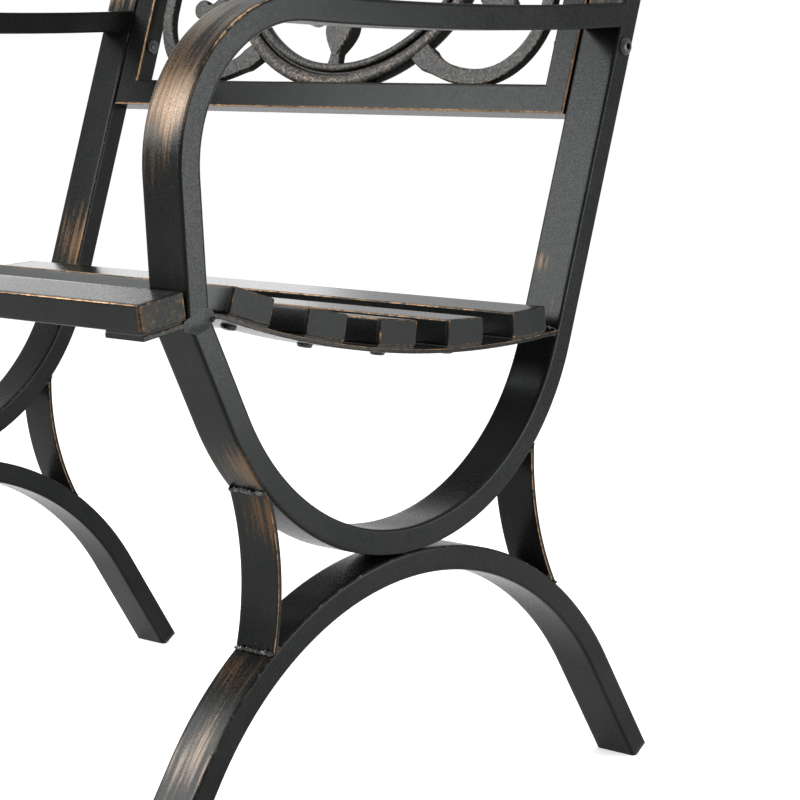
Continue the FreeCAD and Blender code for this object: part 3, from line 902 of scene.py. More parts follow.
class Workshop:
    """Makes finished pieces: puts skins into meshes, paints them and ties them to the frame."""

    def __init__(self) -> None:
        """Makes each finish once."""
        self.paint = {
            Slot.TUBE: BrushedPaint().material(),
            Slot.CAST: CastPaint().material(),
            Slot.PLASTIC: MouldedBlack().material(),
            Slot.STEEL: PlatedBlack().material(),
        }
        self.dull_paint = BrushedPaint(name="dull_bronze", roughness=0.38).material()
        self.slat_paint = BrushedPaint(name="slat_bronze", grain=0.07, speckle=0.03).material()
        self.weld_paint = BrushedPaint(name="weld_black", roughness=0.17, specular=0.5, grain=0.1).material()

    def piece(self, name: str, shells: Sequence[Shell], slot: Slot, stands_for: Sequence[str] = (),
              finish: Optional[bpy.types.Material] = None) -> None:
        """Makes one object of some skins.

        Args:
            name: Name of the piece.
            shells: Its skins.
            slot: Material slot of the record.
            stands_for: CAD nodes that it replaces.
            finish: Finish other than the slot's first one.
        """
        starts = np.cumsum([0] + [len(shell.points) for shell in shells])
        quads = np.vstack([shell.quads + first for shell, first in zip(shells, starts)])
        caps = [cap + first for shell, first in zip(shells, starts) for cap in shell.caps]
        mesh = bpy.data.meshes.new(name)
        points = np.vstack([shell.points for shell in shells])
        mesh.from_pydata(points, [], quads.tolist() + [cap.tolist() for cap in caps])
        coords = [shell.coords.reshape(-1, 2) for shell in shells]
        coords += [item for shell in shells for item in shell.cap_coords]
        layer = mesh.uv_layers.new(name="run")
        layer.data.foreach_set("uv", np.vstack(coords).astype(np.float32).ravel())
        paint = np.vstack([shell.paint for shell in shells]).astype(np.float32)
        for label, values in zip(PAINT_NAMES, paint.T):
            amounts = mesh.attributes.new(label, "FLOAT", "POINT")
            amounts.data.foreach_set("value", np.ascontiguousarray(values))
        mesh.shade_smooth()
        mesh.set_sharp_from_angle(angle=math.radians(SHARP_ANGLE))
        mesh.materials.append(finish or self.paint[slot])
        made = bpy.data.objects.new(name, mesh)
        bpy.context.scene.collection.objects.link(made)
        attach(made, "root")
        if stands_for:
            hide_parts(*stands_for)
        log.info("%s: %d faces", name, len(mesh.polygons))

    def dress(self, node: str, slot: Slot) -> None:
        """Paints a CAD node that stays in sight.

        Args:
            node: Name of the node.
            slot: Material slot of the record.
        """
        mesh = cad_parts[node].data
        mesh.materials.clear()
        mesh.materials.append(self.paint[slot])
        log.info("%s: CAD node painted", node)


@dataclass
class SideFrame:
    """Arch, post tube, arm, braces and seat bar of one side, drawn in the side plane."""

    side: Side
    frame_width: float = 650 * MM
    tube_width: float = 40 * MM
    tube_depth: float = 20 * MM
    tube_corner: float = 2 * MM
    arch_radius: float = 272 * MM
    arch_bend: float = 56.8
    arch_leg: float = 106 * MM
    foot_flange: float = 3 * MM
    foot_sole_flat: float = 2 * MM
    u_radius: float = 200 * MM
    u_setback: float = -18 * MM
    leg_slope: float = 63.4
    post_slope: float = 72.0
    post_length: float = 536 * MM
    weld_gap: float = 0.3 * MM
    brace_radius: float = 222 * MM
    brace_thickness: float = 3.6 * MM
    brace_head_angle: float = 47.1
    brace_foot_angle: float = 36.1
    bar_thickness: float = 3.5 * MM
    bar_height: float = 427.3 * MM
    lip_slope: float = 8.9
    lip_reach: float = 53 * MM
    lip_tail: float = 1 * MM
    crest_radius: float = 30 * MM
    dish_slope: float = 18.2
    dish_radius: float = 923 * MM
    arm_lean: float = 3.8
    arm_rise: float = 97.5 * MM
    arm_bend_radius: float = 111.3 * MM
    arm_dip: float = 2.85
    arm_sweep_radius: float = 4150 * MM
    plate_corner: float = 0.7 * MM
    # Angle into the arm's bend where its brushing and its painted highlight centre.
    arm_brush_and_highlight_angle: float = 29
    brace_bead: float = 2.1 * MM
    brace_bead_lift: float = 0.9 * MM
    brace_bead_off: float = 0.8 * MM
    brace_bead_short: float = 0.3 * MM
    arch_bead: float = 1.6 * MM
    arch_bead_lift: float = 0.4 * MM
    arch_bead_short: float = 1.5 * MM
    arch_bead_angle: float = 2.2
    bar_bead: float = 1.9 * MM
    bar_bead_ahead: float = 1.6 * MM
    arm_bead: float = 1.1 * MM
    arm_bead_lift: float = 0.3 * MM
    bead_off: float = 0.6 * MM
    bead_short: float = 0.8 * MM

    def __post_init__(self) -> None:
        """Works out the places that the pieces share."""
        self.name = self.side.name.lower()
        self.x = self.side.value * (self.frame_width - self.tube_width) / 2
        self.plane = Plane((self.x, FRAME_SHIFT, 0), (0, 1, 0), (0, 0, 1))
        self.half = self.tube_depth / 2
        self.arch_z = (self.arch_leg + self.foot_flange) * sine(self.arch_bend) - self.foot_sole_flat
        self.arch_z += (self.half - self.arch_radius) * cosine(self.arch_bend)
        self.foot_y = self.arch_radius * sine(self.arch_bend) + self.arch_leg * cosine(self.arch_bend)
        self.foot_z = self.arch_z + self.arch_radius * cosine(self.arch_bend)
        self.foot_z -= self.arch_leg * sine(self.arch_bend)
        contact = self.u_radius + self.arch_radius + self.tube_depth + self.weld_gap
        self.u_z = self.arch_z + math.sqrt(contact ** 2 - self.u_setback ** 2)
        self.leg_y = self.u_setback - self.u_radius * sine(self.leg_slope)
        self.leg_z = self.u_z - self.u_radius * cosine(self.leg_slope)
        self.leg_run = (self.bar_height - self.leg_z) / sine(self.leg_slope)
        self.arm_foot_y = self.leg_y - self.leg_run * cosine(self.leg_slope)
        self.post_y = self.u_setback + self.u_radius * sine(self.post_slope)
        self.post_z = self.u_z - self.u_radius * cosine(self.post_slope)
        self.post_front = (self.x, self.post_y - self.half * sine(self.post_slope) + FRAME_SHIFT,
                           self.post_z + self.half * cosine(self.post_slope))
        self.post_normal = (0, -sine(self.post_slope), cosine(self.post_slope))
        self.head_reach = self.u_radius + self.half + self.weld_gap
        self.foot_reach = self.arch_radius + self.half + self.weld_gap
        self.profile = box_profile(self.tube_corner)
        self.plate = box_profile(self.plate_corner, 3)

    def tube(self, route: Route, work: Paintwork, start: Optional[Cut] = None,
             stop: Optional[Cut] = None) -> Shell:
        """Side frame tube along a route."""
        return sweep(route.trace(), self.profile, self.tube_width / 2, -self.half, self.half, work,
                     start, stop)

    def bar_route(self) -> Route:
        """Top face of the seat bar up to the start of its dish.

        Returns:
            The route, from the front lip back.
        """
        a = self.arm_foot_y - self.lip_reach * cosine(self.lip_slope)
        b = self.bar_height - self.lip_reach * sine(self.lip_slope)
        route = Route(self.plane, a, b, self.lip_slope, 4 * MM)
        route.line(self.lip_reach + self.half + self.lip_tail)
        return route.arc(self.crest_radius, -self.lip_slope - self.dish_slope)

    def dish_turn(self) -> float:
        """Works out how far the dish turns between the crest and the post's front face.

        Returns:
            The angle in degrees.
        """
        a, b, heading, _ = self.bar_route().end
        ahead_y = self.post_front[1] - FRAME_SHIFT - a + self.dish_radius * sine(heading)
        ahead_z = self.post_front[2] - b - self.dish_radius * cosine(heading)
        ahead = ahead_y * sine(self.post_slope) - ahead_z * cosine(self.post_slope)
        return self.post_slope - math.degrees(math.acos(ahead / self.dish_radius)) - heading

    def arch(self) -> Shell:
        """Leg arch, brushed on its lower front leg and near the braces' feet, where the pale stroke on the
        front leg also paints a reflection.

        Returns:
            Its skin.
        """
        route = Route(self.plane, -self.foot_y, self.foot_z, self.arch_bend)
        route.line(self.arch_leg).arc(self.arch_radius, -2 * self.arch_bend).line(self.arch_leg)
        length = route.end[3]
        # The first stroke is brushed metal and, with its pale colour, a painted reflection on the lower front
        # leg.
        strokes = [Stroke(Face.ROUTE_LEFT, 0.115, 0.04, 0.6, 0.75),
                   Stroke(Face.ROUTE_LEFT, 0.185, 0.022, 0.42, 0.0, -0.3),
                   Stroke(Face.ROUTE_LEFT, length - 0.08, 0.06, 0.5, 0.4),
                   Stroke(Face.ROUTE_RIGHT, length / 2, 0.12, 0.3)]
        return self.tube(route, Paintwork(strokes, (0.5, 0.3, 0.15, 0.2)))

    def post(self) -> Shell:
        """Front leg, round bottom and back post, cut under the seat bar.

        Returns:
            Its skin.
        """
        route = Route(self.plane, self.arm_foot_y, self.bar_height, -self.leg_slope)
        route.line(self.leg_run).arc(self.u_radius, self.leg_slope + self.post_slope).line(self.post_length)
        under = (self.x, self.arm_foot_y + self.bar_thickness * sine(self.lip_slope) + FRAME_SHIFT,
                 self.bar_height - self.bar_thickness * cosine(self.lip_slope))
        round_end = self.leg_run + math.radians(self.leg_slope + self.post_slope) * self.u_radius
        strokes = [Stroke(Face.ROUTE_RIGHT, self.leg_run + 0.036, 0.024, 0.75, 0.1, 0.5),
                   Stroke(Face.ROUTE_RIGHT, round_end - 0.06, 0.06, 0.4, 0.3),
                   Stroke(Face.ROUTE_LEFT, round_end + 0.31, 0.024, 0.7, 0.4)]
        if self.side is Side.RIGHT:
            # The pale stroke just above the round is partly a pale patch and partly a painted sheen on the
            # lower front.
            strokes += [Stroke(Face.ROUTE_LEFT, round_end + 0.062, 0.012, 0.34, 0.3, -0.95),
                        Stroke(Face.ROUTE_LEFT, round_end + 0.03, 0.014, 0.22, 0.8, 0.2)]
        else:
            strokes += [Stroke(Face.ROUTE_LEFT, round_end + 0.05, 0.035, 0.6, 0.1, 0.3)]
        cut = on_plane(under, (0, -sine(self.lip_slope), cosine(self.lip_slope)))
        inner = 0.3 if self.side is Side.RIGHT else 0.5
        return self.tube(route, Paintwork(strokes, (inner, 0.3, 0.15, 0.2)), cut)

    def arm_route(self) -> Route:
        """Middle line of the arm from its foot to the post.

        Returns:
            The route.
        """
        route = Route(self.plane, self.arm_foot_y, self.bar_height, 90 + self.arm_lean)
        route.line(self.arm_rise).arc(self.arm_bend_radius, -90 - self.arm_lean - self.arm_dip)
        a, b = route.end[:2]
        behind = (b - self.post_front[2]) / math.tan(math.radians(self.post_slope))
        span = self.post_front[1] - FRAME_SHIFT + behind - a
        return route.arc(self.arm_sweep_radius, math.degrees(span / self.arm_sweep_radius))

    def arm_end(self) -> Array:
        """Place, heading and run length of the arm's rear end."""
        return self.arm_route().end

    def arm(self) -> Shell:
        """Arm support, bend and dished arm, brushed most on the bend, where pale strokes also paint the
        bend's highlight.

        Returns:
            Its skin.
        """
        foot = (self.x, self.arm_foot_y + FRAME_SHIFT, self.bar_height)
        route = self.arm_route()
        bend = self.arm_rise + self.arm_bend_radius * math.radians(self.arm_brush_and_highlight_angle)
        # Strokes centre where the bend is lit: the brown ones are brushed metal, and the pale ones paint the
        # bend's highlight.
        strokes = [Stroke(Face.ROUTE_LEFT, bend + 0.004, 0.046, 0.62, 0.0, -0.25),
                   Stroke(Face.ROUTE_LEFT, bend - 0.006, 0.024, 0.36, 1.0, 0.5),
                   Stroke(Face.ROUTE_LEFT, bend + 0.066, 0.022, 0.5, 1.0, -0.3),
                   Stroke(Face.ROUTE_LEFT, bend + 0.12, 0.05, 0.4, 0.6),
                   Stroke(Face.ROUTE_LEFT, bend + 0.3, 0.1, 0.2),
                   Stroke(Face.ROUTE_LEFT, 0.03, 0.03, 0.16, 0.0, 0.8),
                   Stroke(Face.ROUTE_LEFT, 0.1, 0.02, 0.12, 0.0, -0.6)]
        return self.tube(route, Paintwork(strokes, (0.75, 0.5, 0.15, 0.2), (bend + 0.06, 0.08)),
                         on_plane(foot, (0, -sine(self.lip_slope), cosine(self.lip_slope))),
                         on_plane(self.post_front, self.post_normal))

    def brace_route(self, end: int) -> Route:
        """Outer face of a brace, up from the arch to the round of the post tube.

        Args:
            end: -1 at the front and 1 at the back.

        Returns:
            The route, an arc through both places.
        """
        head = (self.u_setback + end * self.head_reach * sine(self.brace_head_angle),
                self.u_z - self.head_reach * cosine(self.brace_head_angle))
        foot = (end * self.foot_reach * sine(self.brace_foot_angle),
                self.arch_z + self.foot_reach * cosine(self.brace_foot_angle))
        chord = math.hypot(head[0] - foot[0], head[1] - foot[1])
        bearing = math.degrees(math.atan2(head[1] - foot[1], head[0] - foot[0]))
        half_turn = math.degrees(math.asin(chord / 2 / self.brace_radius))
        route = Route(self.plane, foot[0], foot[1], bearing + end * half_turn)
        return route.arc(self.brace_radius, -end * 2 * half_turn)

    def brace(self, end: int) -> Shell:
        """Curved flat brace, cut on the round of the post tube and on the arch.

        Args:
            end: -1 at the front and 1 at the back.

        Returns:
            Its skin.
        """
        route = self.brace_route(end)
        low = min(end, 0) * self.brace_thickness
        outer = Face.ROUTE_RIGHT if end > 0 else Face.ROUTE_LEFT
        inner = Face.ROUTE_LEFT if end > 0 else Face.ROUTE_RIGHT
        top = route.end[3]
        strokes = [Stroke(outer, top - 0.018, 0.03, 0.42, 0.0, 0.9), Stroke(outer, 0.03, 0.05, 0.14),
                   Stroke(inner, 0.05, 0.04, 0.2), Stroke(Face.PLUS, 0.05, 0.06, 0.25)]
        return sweep(route.trace(), self.plate, self.tube_width / 2, low, low + self.brace_thickness,
                     Paintwork(strokes, (0.85, 0.5, 0.5, 0.6)),
                     on_cylinder(FRAME_SHIFT, self.arch_z, self.foot_reach),
                     on_cylinder(self.u_setback + FRAME_SHIFT, self.u_z, self.head_reach))

    def seat_bar(self) -> Shell:
        """Flat bar under the slats, from the front lip to the post.

        Returns:
            Its skin.
        """
        route = self.bar_route().arc(self.dish_radius, self.dish_turn())
        strokes = [Stroke(Face.PLUS, 0.12, 0.06, 0.35, 0.6), Stroke(Face.PLUS, 0.30, 0.15, 0.3, 0.3),
                   Stroke(Face.MINUS, 0.2, 0.2, 0.4)]
        return sweep(route.trace(), self.plate, self.tube_width / 2, -self.bar_thickness, 0,
                     Paintwork(strokes, (0.8, 0.5, 0.4, 0.6)),
                     stop=on_plane(self.post_front, self.post_normal))

    def brace_welds(self, end: int, seed: int) -> list[Shell]:
        """Beads on both faces of a brace at its head and foot.

        A bead sits beside the plate's face, so along the tube it stands off by its own radius and, on the
        inner side, by the plate's thickness over the cosine of the plate's lean from the tube's radius.

        Args:
            end: -1 at the front and 1 at the back.
            seed: First seed of the beads.

        Returns:
            Their skins.
        """
        places = self.brace_route(end).places
        joints = ((self.brace_head_angle, self.u_radius, (self.u_setback, self.u_z), -1, places[-1, 2]),
                  (self.brace_foot_angle, self.arch_radius, (0.0, self.arch_z), 1, places[0, 2]))
        beads = []
        half = self.tube_width / 2 - self.brace_bead_short
        for angle, reach, centre, sign, heading in joints:
            reach += self.half + self.brace_bead_lift
            lean = cosine(heading - 90 + sign * end * angle)
            for offset in (self.brace_bead_off, -self.brace_bead_off - self.brace_thickness / abs(lean)):
                turn = angle + math.degrees(offset / reach)
                y = centre[0] + end * reach * sine(turn)
                z = centre[1] + sign * reach * cosine(turn)
                beads.append(bead(self.plane, y, z, half, self.brace_bead, seed))
                seed += 1
        return beads

    def welds(self) -> list[Shell]:
        """Beads at the braces, at the arch, at the seat bar's rear end and at the arm's foot.

        Returns:
            Their skins.
        """
        half = self.tube_width / 2
        seed = 10 if self.side is Side.LEFT else 40
        beads = self.brace_welds(-1, seed) + self.brace_welds(1, seed + 4)
        lean = math.degrees(math.asin(self.u_setback / (self.u_radius + self.arch_radius + self.tube_depth)))
        reach = self.arch_radius + self.half + self.arch_bead_lift
        for offset in (-self.arch_bead_angle, self.arch_bead_angle):
            turn = lean + offset
            beads.append(bead(self.plane, reach * sine(turn), self.arch_z + reach * cosine(turn),
                              half - self.arch_bead_short, self.arch_bead, seed + 9 + int(offset)))
        rear = self.bar_route().arc(self.dish_radius, self.dish_turn()).end
        for rise in (self.bead_off, -self.bar_thickness - self.bead_off):
            beads.append(bead(self.plane, rear[0] - self.bar_bead_ahead, rear[1] + rise,
                              half - self.bead_short, self.bar_bead, seed + 14))
        slope = math.tan(math.radians(self.lip_slope))
        for end in (-1, 1):
            off = end * (self.half + self.bead_off)
            high = self.bar_height + off * slope + self.arm_bead_lift
            beads.append(bead(self.plane, self.arm_foot_y + off, high, half - self.bead_short,
                              self.arm_bead, seed + 18 + end))
        return beads

    def ground_welds(self) -> list[Shell]:
        """Welds dressed flush with the outer face: over the arm's foot, and where the arm meets the post.

        Returns:
            Their skins.
        """
        seed = 62 if self.side is Side.LEFT else 82
        face = self.x + self.side.value * self.tube_width / 2
        out = (float(self.side.value), 0.0, 0.0)
        along = (0.0, float(cosine(self.lip_slope)), float(sine(self.lip_slope)))
        foot_y = self.arm_foot_y + FRAME_SHIFT
        foot = (face, foot_y, self.bar_height - 2 * MM)
        drop = (face, foot_y + 12 * MM, self.bar_height - 1 * MM)
        up = (0.0, float(cosine(self.post_slope)), float(sine(self.post_slope)))
        reach = (self.arm_end()[1] - self.post_front[2]) / sine(self.post_slope)
        meet = np.array(self.post_front) + reach * np.array(up)
        seam = (face, float(meet[1]) + 0.8 * MM, float(meet[2]))
        return [patch(foot, out, along, (15 * MM, 8 * MM), 0.5 * MM, seed),
                patch(drop, out, along, (3 * MM, 2.4 * MM), 0.9 * MM, seed + 1),
                patch(seam, out, up, (11 * MM, 3.4 * MM), 0.12 * MM, seed + 2)]

    def build(self, shop: Workshop) -> None:
        """Makes the pieces of this side.

        Args:
            shop: Workshop that finishes them.
        """
        for part, shell in (("leg_arch", self.arch()), ("post_tube", self.post()), ("arm_tube", self.arm()),
                            ("front_brace", self.brace(-1)), ("rear_brace", self.brace(1)),
                            ("seat_bar", self.seat_bar())):
            shop.piece("%s_%s_painted" % (self.name, part), [shell], Slot.TUBE, ["%s_%s" % (self.name, part)])
        shop.piece("%s_weld_beads" % self.name, self.welds(), Slot.TUBE, finish=shop.weld_paint)
        shop.piece("%s_ground_welds" % self.name, self.ground_welds(), Slot.TUBE)
        for node in ("front_foot", "rear_foot", "post_cap"):
            shop.dress("%s_%s" % (self.name, node), Slot.PLASTIC)


@dataclass
class Seat:
    """Six tube slats with end caps, bolted to the seat bars from below."""

    side_frame: SideFrame
    slat_width: float = 42 * MM
    slat_height: float = 20.5 * MM
    slat_corner: float = 1.5 * MM
    slat_count: int = 6
    last_slat_gap: float = 15.3 * MM
    slat_arm_gap: float = 2 * MM
    first_slat_offset: float = 24.3 * MM
    slat_cap_thickness: float = 4 * MM
    spacer_thickness: float = 2 * MM
    seat_gap: float = 0.05 * MM
    bolt_head_radius: float = 6 * MM
    bolt_head_height: float = 3 * MM
    socket_radius: float = 2.1 * MM
    pad_corner: float = 0.6 * MM
    pad_inset: float = 1.5 * MM
    pad_side_inset: float = 0.4 * MM
    cap_seam: float = 0.15 * MM
    cap_round: float = 1.2 * MM
    cap_round_depth: float = 0.9 * MM
    cap_ease: float = 0.1 * MM
    cap_ease_fade: float = 0.3 * MM
    cap_rubs: tuple[float, ...] = (0.45, 0.1, 0.08, 0.34, 0.08, 0.12)

    def places(self) -> list[tuple[float, float, float]]:
        """Works out where the slats lie, front to back.

        Returns:
            Point of the side plane and heading under the middle of each slat.
        """
        side = self.side_frame
        front = side.half + self.slat_arm_gap + self.slat_width / 2
        found = [(side.arm_foot_y - front * cosine(side.lip_slope),
                  side.bar_height - front * sine(side.lip_slope), side.lip_slope)]
        last = side.dish_radius * math.radians(side.dish_turn()) - self.last_slat_gap - self.slat_width / 2
        for offset in np.linspace(self.first_slat_offset, last, self.slat_count - 1):
            end = side.bar_route().arc(side.dish_radius, math.degrees(offset / side.dish_radius)).end
            found.append((end[0], end[1], end[2]))
        return found

    def lying(self, y: float, z: float, heading: float) -> Plane:
        """Plane that holds a slat's long axis and its upright, on the bar's top face."""
        return Plane((0, y + FRAME_SHIFT, z), (1, 0, 0), (0, -sine(heading), cosine(heading)))

    def slat(self, plane: Plane, number: int) -> Shell:
        """Tube slat: a rounded rectangle carried along x, rubbed on its upper front edge and its ends.

        Args:
            plane: The slat's plane.
            number: Its number from the front.

        Returns:
            The skin.
        """
        half = self.side_frame.frame_width / 2 - self.slat_cap_thickness
        low = self.spacer_thickness + self.seat_gap
        route = Route(plane, -half, low + self.slat_height / 2, 0, 12 * MM).line(2 * half)
        ends = 0.12 + 0.12 * (number % 3 == 1)
        strokes = [Stroke(Face.ROUTE_LEFT, 0.0, 0.03, ends), Stroke(Face.ROUTE_LEFT, 2 * half, 0.03, ends),
                   Stroke(Face.PLUS, 0.3 + 0.05 * number, 0.2, 0.12), Stroke(Face.MINUS, 2 * half, 0.04, 0.2)]
        return sweep(route.trace(), box_profile(self.slat_corner), self.slat_width / 2, -self.slat_height / 2,
                     self.slat_height / 2, Paintwork(strokes, (0.78, 0.35, 0.2, 0.4)))

    def cap(self, plane: Plane, side: Side, rub: float) -> Shell:
        """End cap: a plate with a rounded outer rim and a fine seam beside the slat.

        It is smaller by depth * (1 - (1 - 0.96 * t^2)^(1/2)) as t goes from 0 to 1 over the round, and by
        ease * exp(-s / fade) at the distance s from the slat.

        Args:
            plane: The slat's plane.
            side: End of the slat.
            rub: Wear on its outer face.

        Returns:
            The skin.
        """
        start = self.side_frame.frame_width / 2 - self.slat_cap_thickness + self.cap_seam
        length = self.slat_cap_thickness - self.cap_seam
        low = self.spacer_thickness + self.seat_gap
        heading = 0 if side is Side.RIGHT else 180
        route = Route(plane, side.value * start, low + self.slat_height / 2, heading, 0.4 * MM).line(length)
        trace = route.trace()
        into = np.clip((trace.along - length + self.cap_round) / self.cap_round, 0, 1)
        shrink = self.cap_round_depth * (1 - np.sqrt(1 - 0.96 * into ** 2))
        shrink = shrink + self.cap_ease * np.exp(-trace.along / self.cap_ease_fade)
        tall = self.slat_height / 2 - shrink
        smudge = Stroke(Face.PLUS, 0.0, 0.05, max(2 * rub - 0.4, 0))
        work = Paintwork([smudge], (0.7, 0.55, 0.4, 0.55), end_edge=0.52, end_face=rub)
        return sweep(trace, box_profile(self.slat_corner), self.slat_width / 2 - shrink, -tall, tall, work)

    def pad(self, plane: Plane, side: Side) -> Shell:
        """Thin moulded pad between a slat and the seat bar, a rounded strip along x.

        Args:
            plane: The slat's plane.
            side: End of the slat.

        Returns:
            The skin.
        """
        middle = side.value * abs(self.side_frame.x)
        half = self.side_frame.tube_width / 2 - self.pad_inset
        high = self.spacer_thickness / 2
        route = Route(plane, middle - half, high + self.seat_gap, 0, 4 * MM).line(2 * half)
        wide = self.slat_width / 2 - self.pad_side_inset
        return sweep(route.trace(), box_profile(self.pad_corner, 3), wide, -high, high)

    def bolt(self, y: float, z: float, heading: float, side: Side) -> Shell:
        """Flat head with a hexagon socket under the seat bar, as a body of revolution.

        Args:
            y: Place in the side plane.
            z: Height of the bar's top face there.
            heading: Slope of the bar there, in degrees.
            side: End of the slat.

        Returns:
            The skin.
        """
        frame_side = self.side_frame
        up = np.array([0, -sine(heading), cosine(heading)])
        centre = np.array([side.value * abs(frame_side.x), y + FRAME_SHIFT, z])
        centre = centre - up * (frame_side.bar_thickness + self.seat_gap)
        return button(centre, -up, np.array([1.0, 0, 0]), self.bolt_head_radius, self.bolt_head_height,
                      self.socket_radius, 0.3)

    def build(self, shop: Workshop) -> None:
        """Makes the slats, their caps, pads and bolts.

        Args:
            shop: Workshop that finishes them.
        """
        planes = [self.lying(*place) for place in self.places()]
        for number, plane in enumerate(planes, start=1):
            name = "slat_%d" % number
            shop.piece(name + "_painted", [self.slat(plane, number)], Slot.TUBE, [name], shop.slat_paint)
        for side in Side:
            name = "%s_slat_caps" % side.name.lower()
            caps = [self.cap(plane, side, rub) for plane, rub in zip(planes, self.cap_rubs)]
            shop.piece(name + "_painted", caps, Slot.TUBE, [name], shop.dull_paint)
        bolts = [self.bolt(*place, side) for place in self.places() for side in Side]
        shop.piece("seat_bolt_heads", bolts, Slot.STEEL, ["seat_bolts"])
        pads = [self.pad(plane, side) for plane in planes for side in Side]
        shop.piece("slat_pads", pads, Slot.PLASTIC)
        shop.dress("seat_spacers", Slot.PLASTIC)
        shop.dress("seat_insert_nuts", Slot.STEEL)


@dataclass
class BackFrame:
    """Mitred frame of rectangular tube between the posts, with its bolts."""

    side_frame: SideFrame
    back_tube: float = 25 * MM
    back_corner: float = 1.5 * MM
    back_drop: float = 13.1 * MM
    back_opening: float = 282 * MM
    back_side_gap: float = 2.5 * MM
    back_bolt_inset: float = 61.4 * MM
    bolt_radius: float = 4 * MM
    bolt_projection: float = 0.6 * MM
    thread_length: float = 4 * MM
    thread_depth: float = 0.4 * MM
    nut_height: float = 2.8 * MM
    nut_radius: float = 6.5 * MM
    bolt_head_radius: float = 7.5 * MM
    bolt_head_height: float = 4.5 * MM
    socket_radius: float = 2.6 * MM

    def __post_init__(self) -> None:
        """Works out the frame's plane: x across and up the posts, from the lower rail's top edge."""
        side = self.side_frame
        self.height = self.back_opening + 2 * self.back_tube
        self.start = side.post_length - self.back_drop - self.height
        self.half_width = side.frame_width / 2 - side.tube_width - self.back_side_gap
        self.inner = self.half_width - self.back_tube
        self.plane = Plane(self.up_post(self.start + self.back_tube), (1, 0, 0),
                           (0, float(cosine(side.post_slope)), float(sine(side.post_slope))))
        self.profile = box_profile(self.back_corner)
        self.bolt_runs = (self.start + self.back_bolt_inset, self.start + self.height - self.back_bolt_inset)

    def up_post(self, along: float) -> tuple[float, float, float]:
        """Finds a point on the posts' axis, in the chair's middle plane.

        Args:
            along: Distance up the post from its lower end.

        Returns:
            The point.
        """
        side = self.side_frame
        return (0.0, float(side.post_y + along * cosine(side.post_slope) + FRAME_SHIFT),
                float(side.post_z + along * sine(side.post_slope)))

    def member(self, a: float, b: float, heading: float, length: float, work: Paintwork) -> Shell:
        """Tube with both ends mitred: each moves in by a point's distance from the tube's outer side.

        Args:
            a: Start of its middle line across the chair.
            b: Start of its middle line up the posts.
            heading: Its direction in the frame's plane.
            length: Length on its outer side.
            work: Rubbed places.

        Returns:
            The skin.
        """
        route = Route(self.plane, a, b, heading, 12 * MM).line(length)
        trace = route.trace()
        half = self.back_tube / 2
        start = trace.points[0] - half * trace.lefts[0]
        stop = trace.points[-1] - half * trace.lefts[-1]
        return sweep(trace, self.profile, self.side_frame.half, -half, half, work,
                     on_plane(start, trace.tangents[0] - trace.lefts[0]),
                     on_plane(stop, trace.tangents[0] + trace.lefts[0]))

    def members(self) -> dict[str, Shell]:
        """Makes the rails and stiles.

        Returns:
            Skins by the CAD node that each stands for.
        """
        half, width, height = self.back_tube / 2, self.half_width, self.back_opening + self.back_tube
        low = height - self.back_tube + half
        rail = Paintwork([Stroke(Face.PLUS, 0.3, 0.2, 0.06), Stroke(Face.ROUTE_RIGHT, 0.3, 0.3, 0.12)],
                         (0.6, 0.3, 0.3, 0.95))
        stile = [Stroke(Face.PLUS, 0.1, 0.1, 0.08), Stroke(Face.ROUTE_RIGHT, 0.15, 0.15, 0.15)]
        return {
            "back_lower_rail": self.member(-width, -half, 0, 2 * width, rail),
            "back_upper_rail": self.member(width, low, 180, 2 * width, rail),
            "back_right_stile": self.member(self.inner + half, -self.back_tube, 90, self.height,
                                            Paintwork(stile, (0.4, 0.3, 0.3, 0.9))),
            "back_left_stile": self.member(-self.inner - half, self.height - self.back_tube, -90, self.height,
                                           Paintwork(stile, (0.95, 0.3, 0.3, 0.3))),
        }

    def shank(self, centre: Array, inward: Array) -> Shell:
        """Bolt shank with a threaded tip.

        Over the thread the radius is less by depth * (1 - |sin(s / depth)|), with s from its end.

        Args:
            centre: Middle of the head's seat.
            inward: Unit vector from there to the nut.

        Returns:
            The skin.
        """
        length = self.side_frame.frame_width / 2 - self.inner + self.nut_height + self.bolt_projection
        turns = np.linspace(length - self.thread_length, length - self.thread_depth, 25)
        high = np.concatenate([[0, 0], turns, [length, length]])
        thread = self.thread_depth * (1 - np.abs(np.sin((length - turns) / self.thread_depth)))
        radius = np.concatenate([[0.02 * self.bolt_radius, self.bolt_radius], self.bolt_radius - thread,
                                 [0.85 * self.bolt_radius, 0.02 * self.bolt_radius]])
        return turned(centre, inward, np.array([0, 0, 1.0]), radius, high, 32)

    def bolts(self) -> list[Shell]:
        """Button heads on the outer faces of the posts, with shanks through to the nuts.

        Returns:
            Their skins.
        """
        side = self.side_frame
        made = []
        up = np.array([0, 0, 1.0])
        for along in self.bolt_runs:
            for way in Side:
                centre = np.array(self.up_post(along)) + np.array([way.value * side.frame_width / 2, 0, 0])
                out = np.array([float(way.value), 0, 0])
                made.append(button(centre, out, up, self.bolt_head_radius, self.bolt_head_height,
                                   self.socket_radius))
                made.append(self.shank(centre, -out))
        return made

    def nuts(self) -> list[Shell]:
        """Thin hexagon nuts on the inner faces of the stiles, chamfered above.

        Returns:
            Their skins.
        """
        high = np.array([0, 0, 0.8, 1, 1, 0.9]) * self.nut_height
        rim = np.array([0.02, 1, 1, 0.93, 0.7, 0.02]) * self.nut_radius
        flats = np.array([0, 1, 1, 0, 0, 0.0])
        return [turned(np.array(self.up_post(along)) + np.array([way.value * self.inner, 0, 0]),
                       np.array([-float(way.value), 0, 0]), np.array([0, 0, 1.0]), rim, high, 48, flats)
                for along in self.bolt_runs for way in Side]

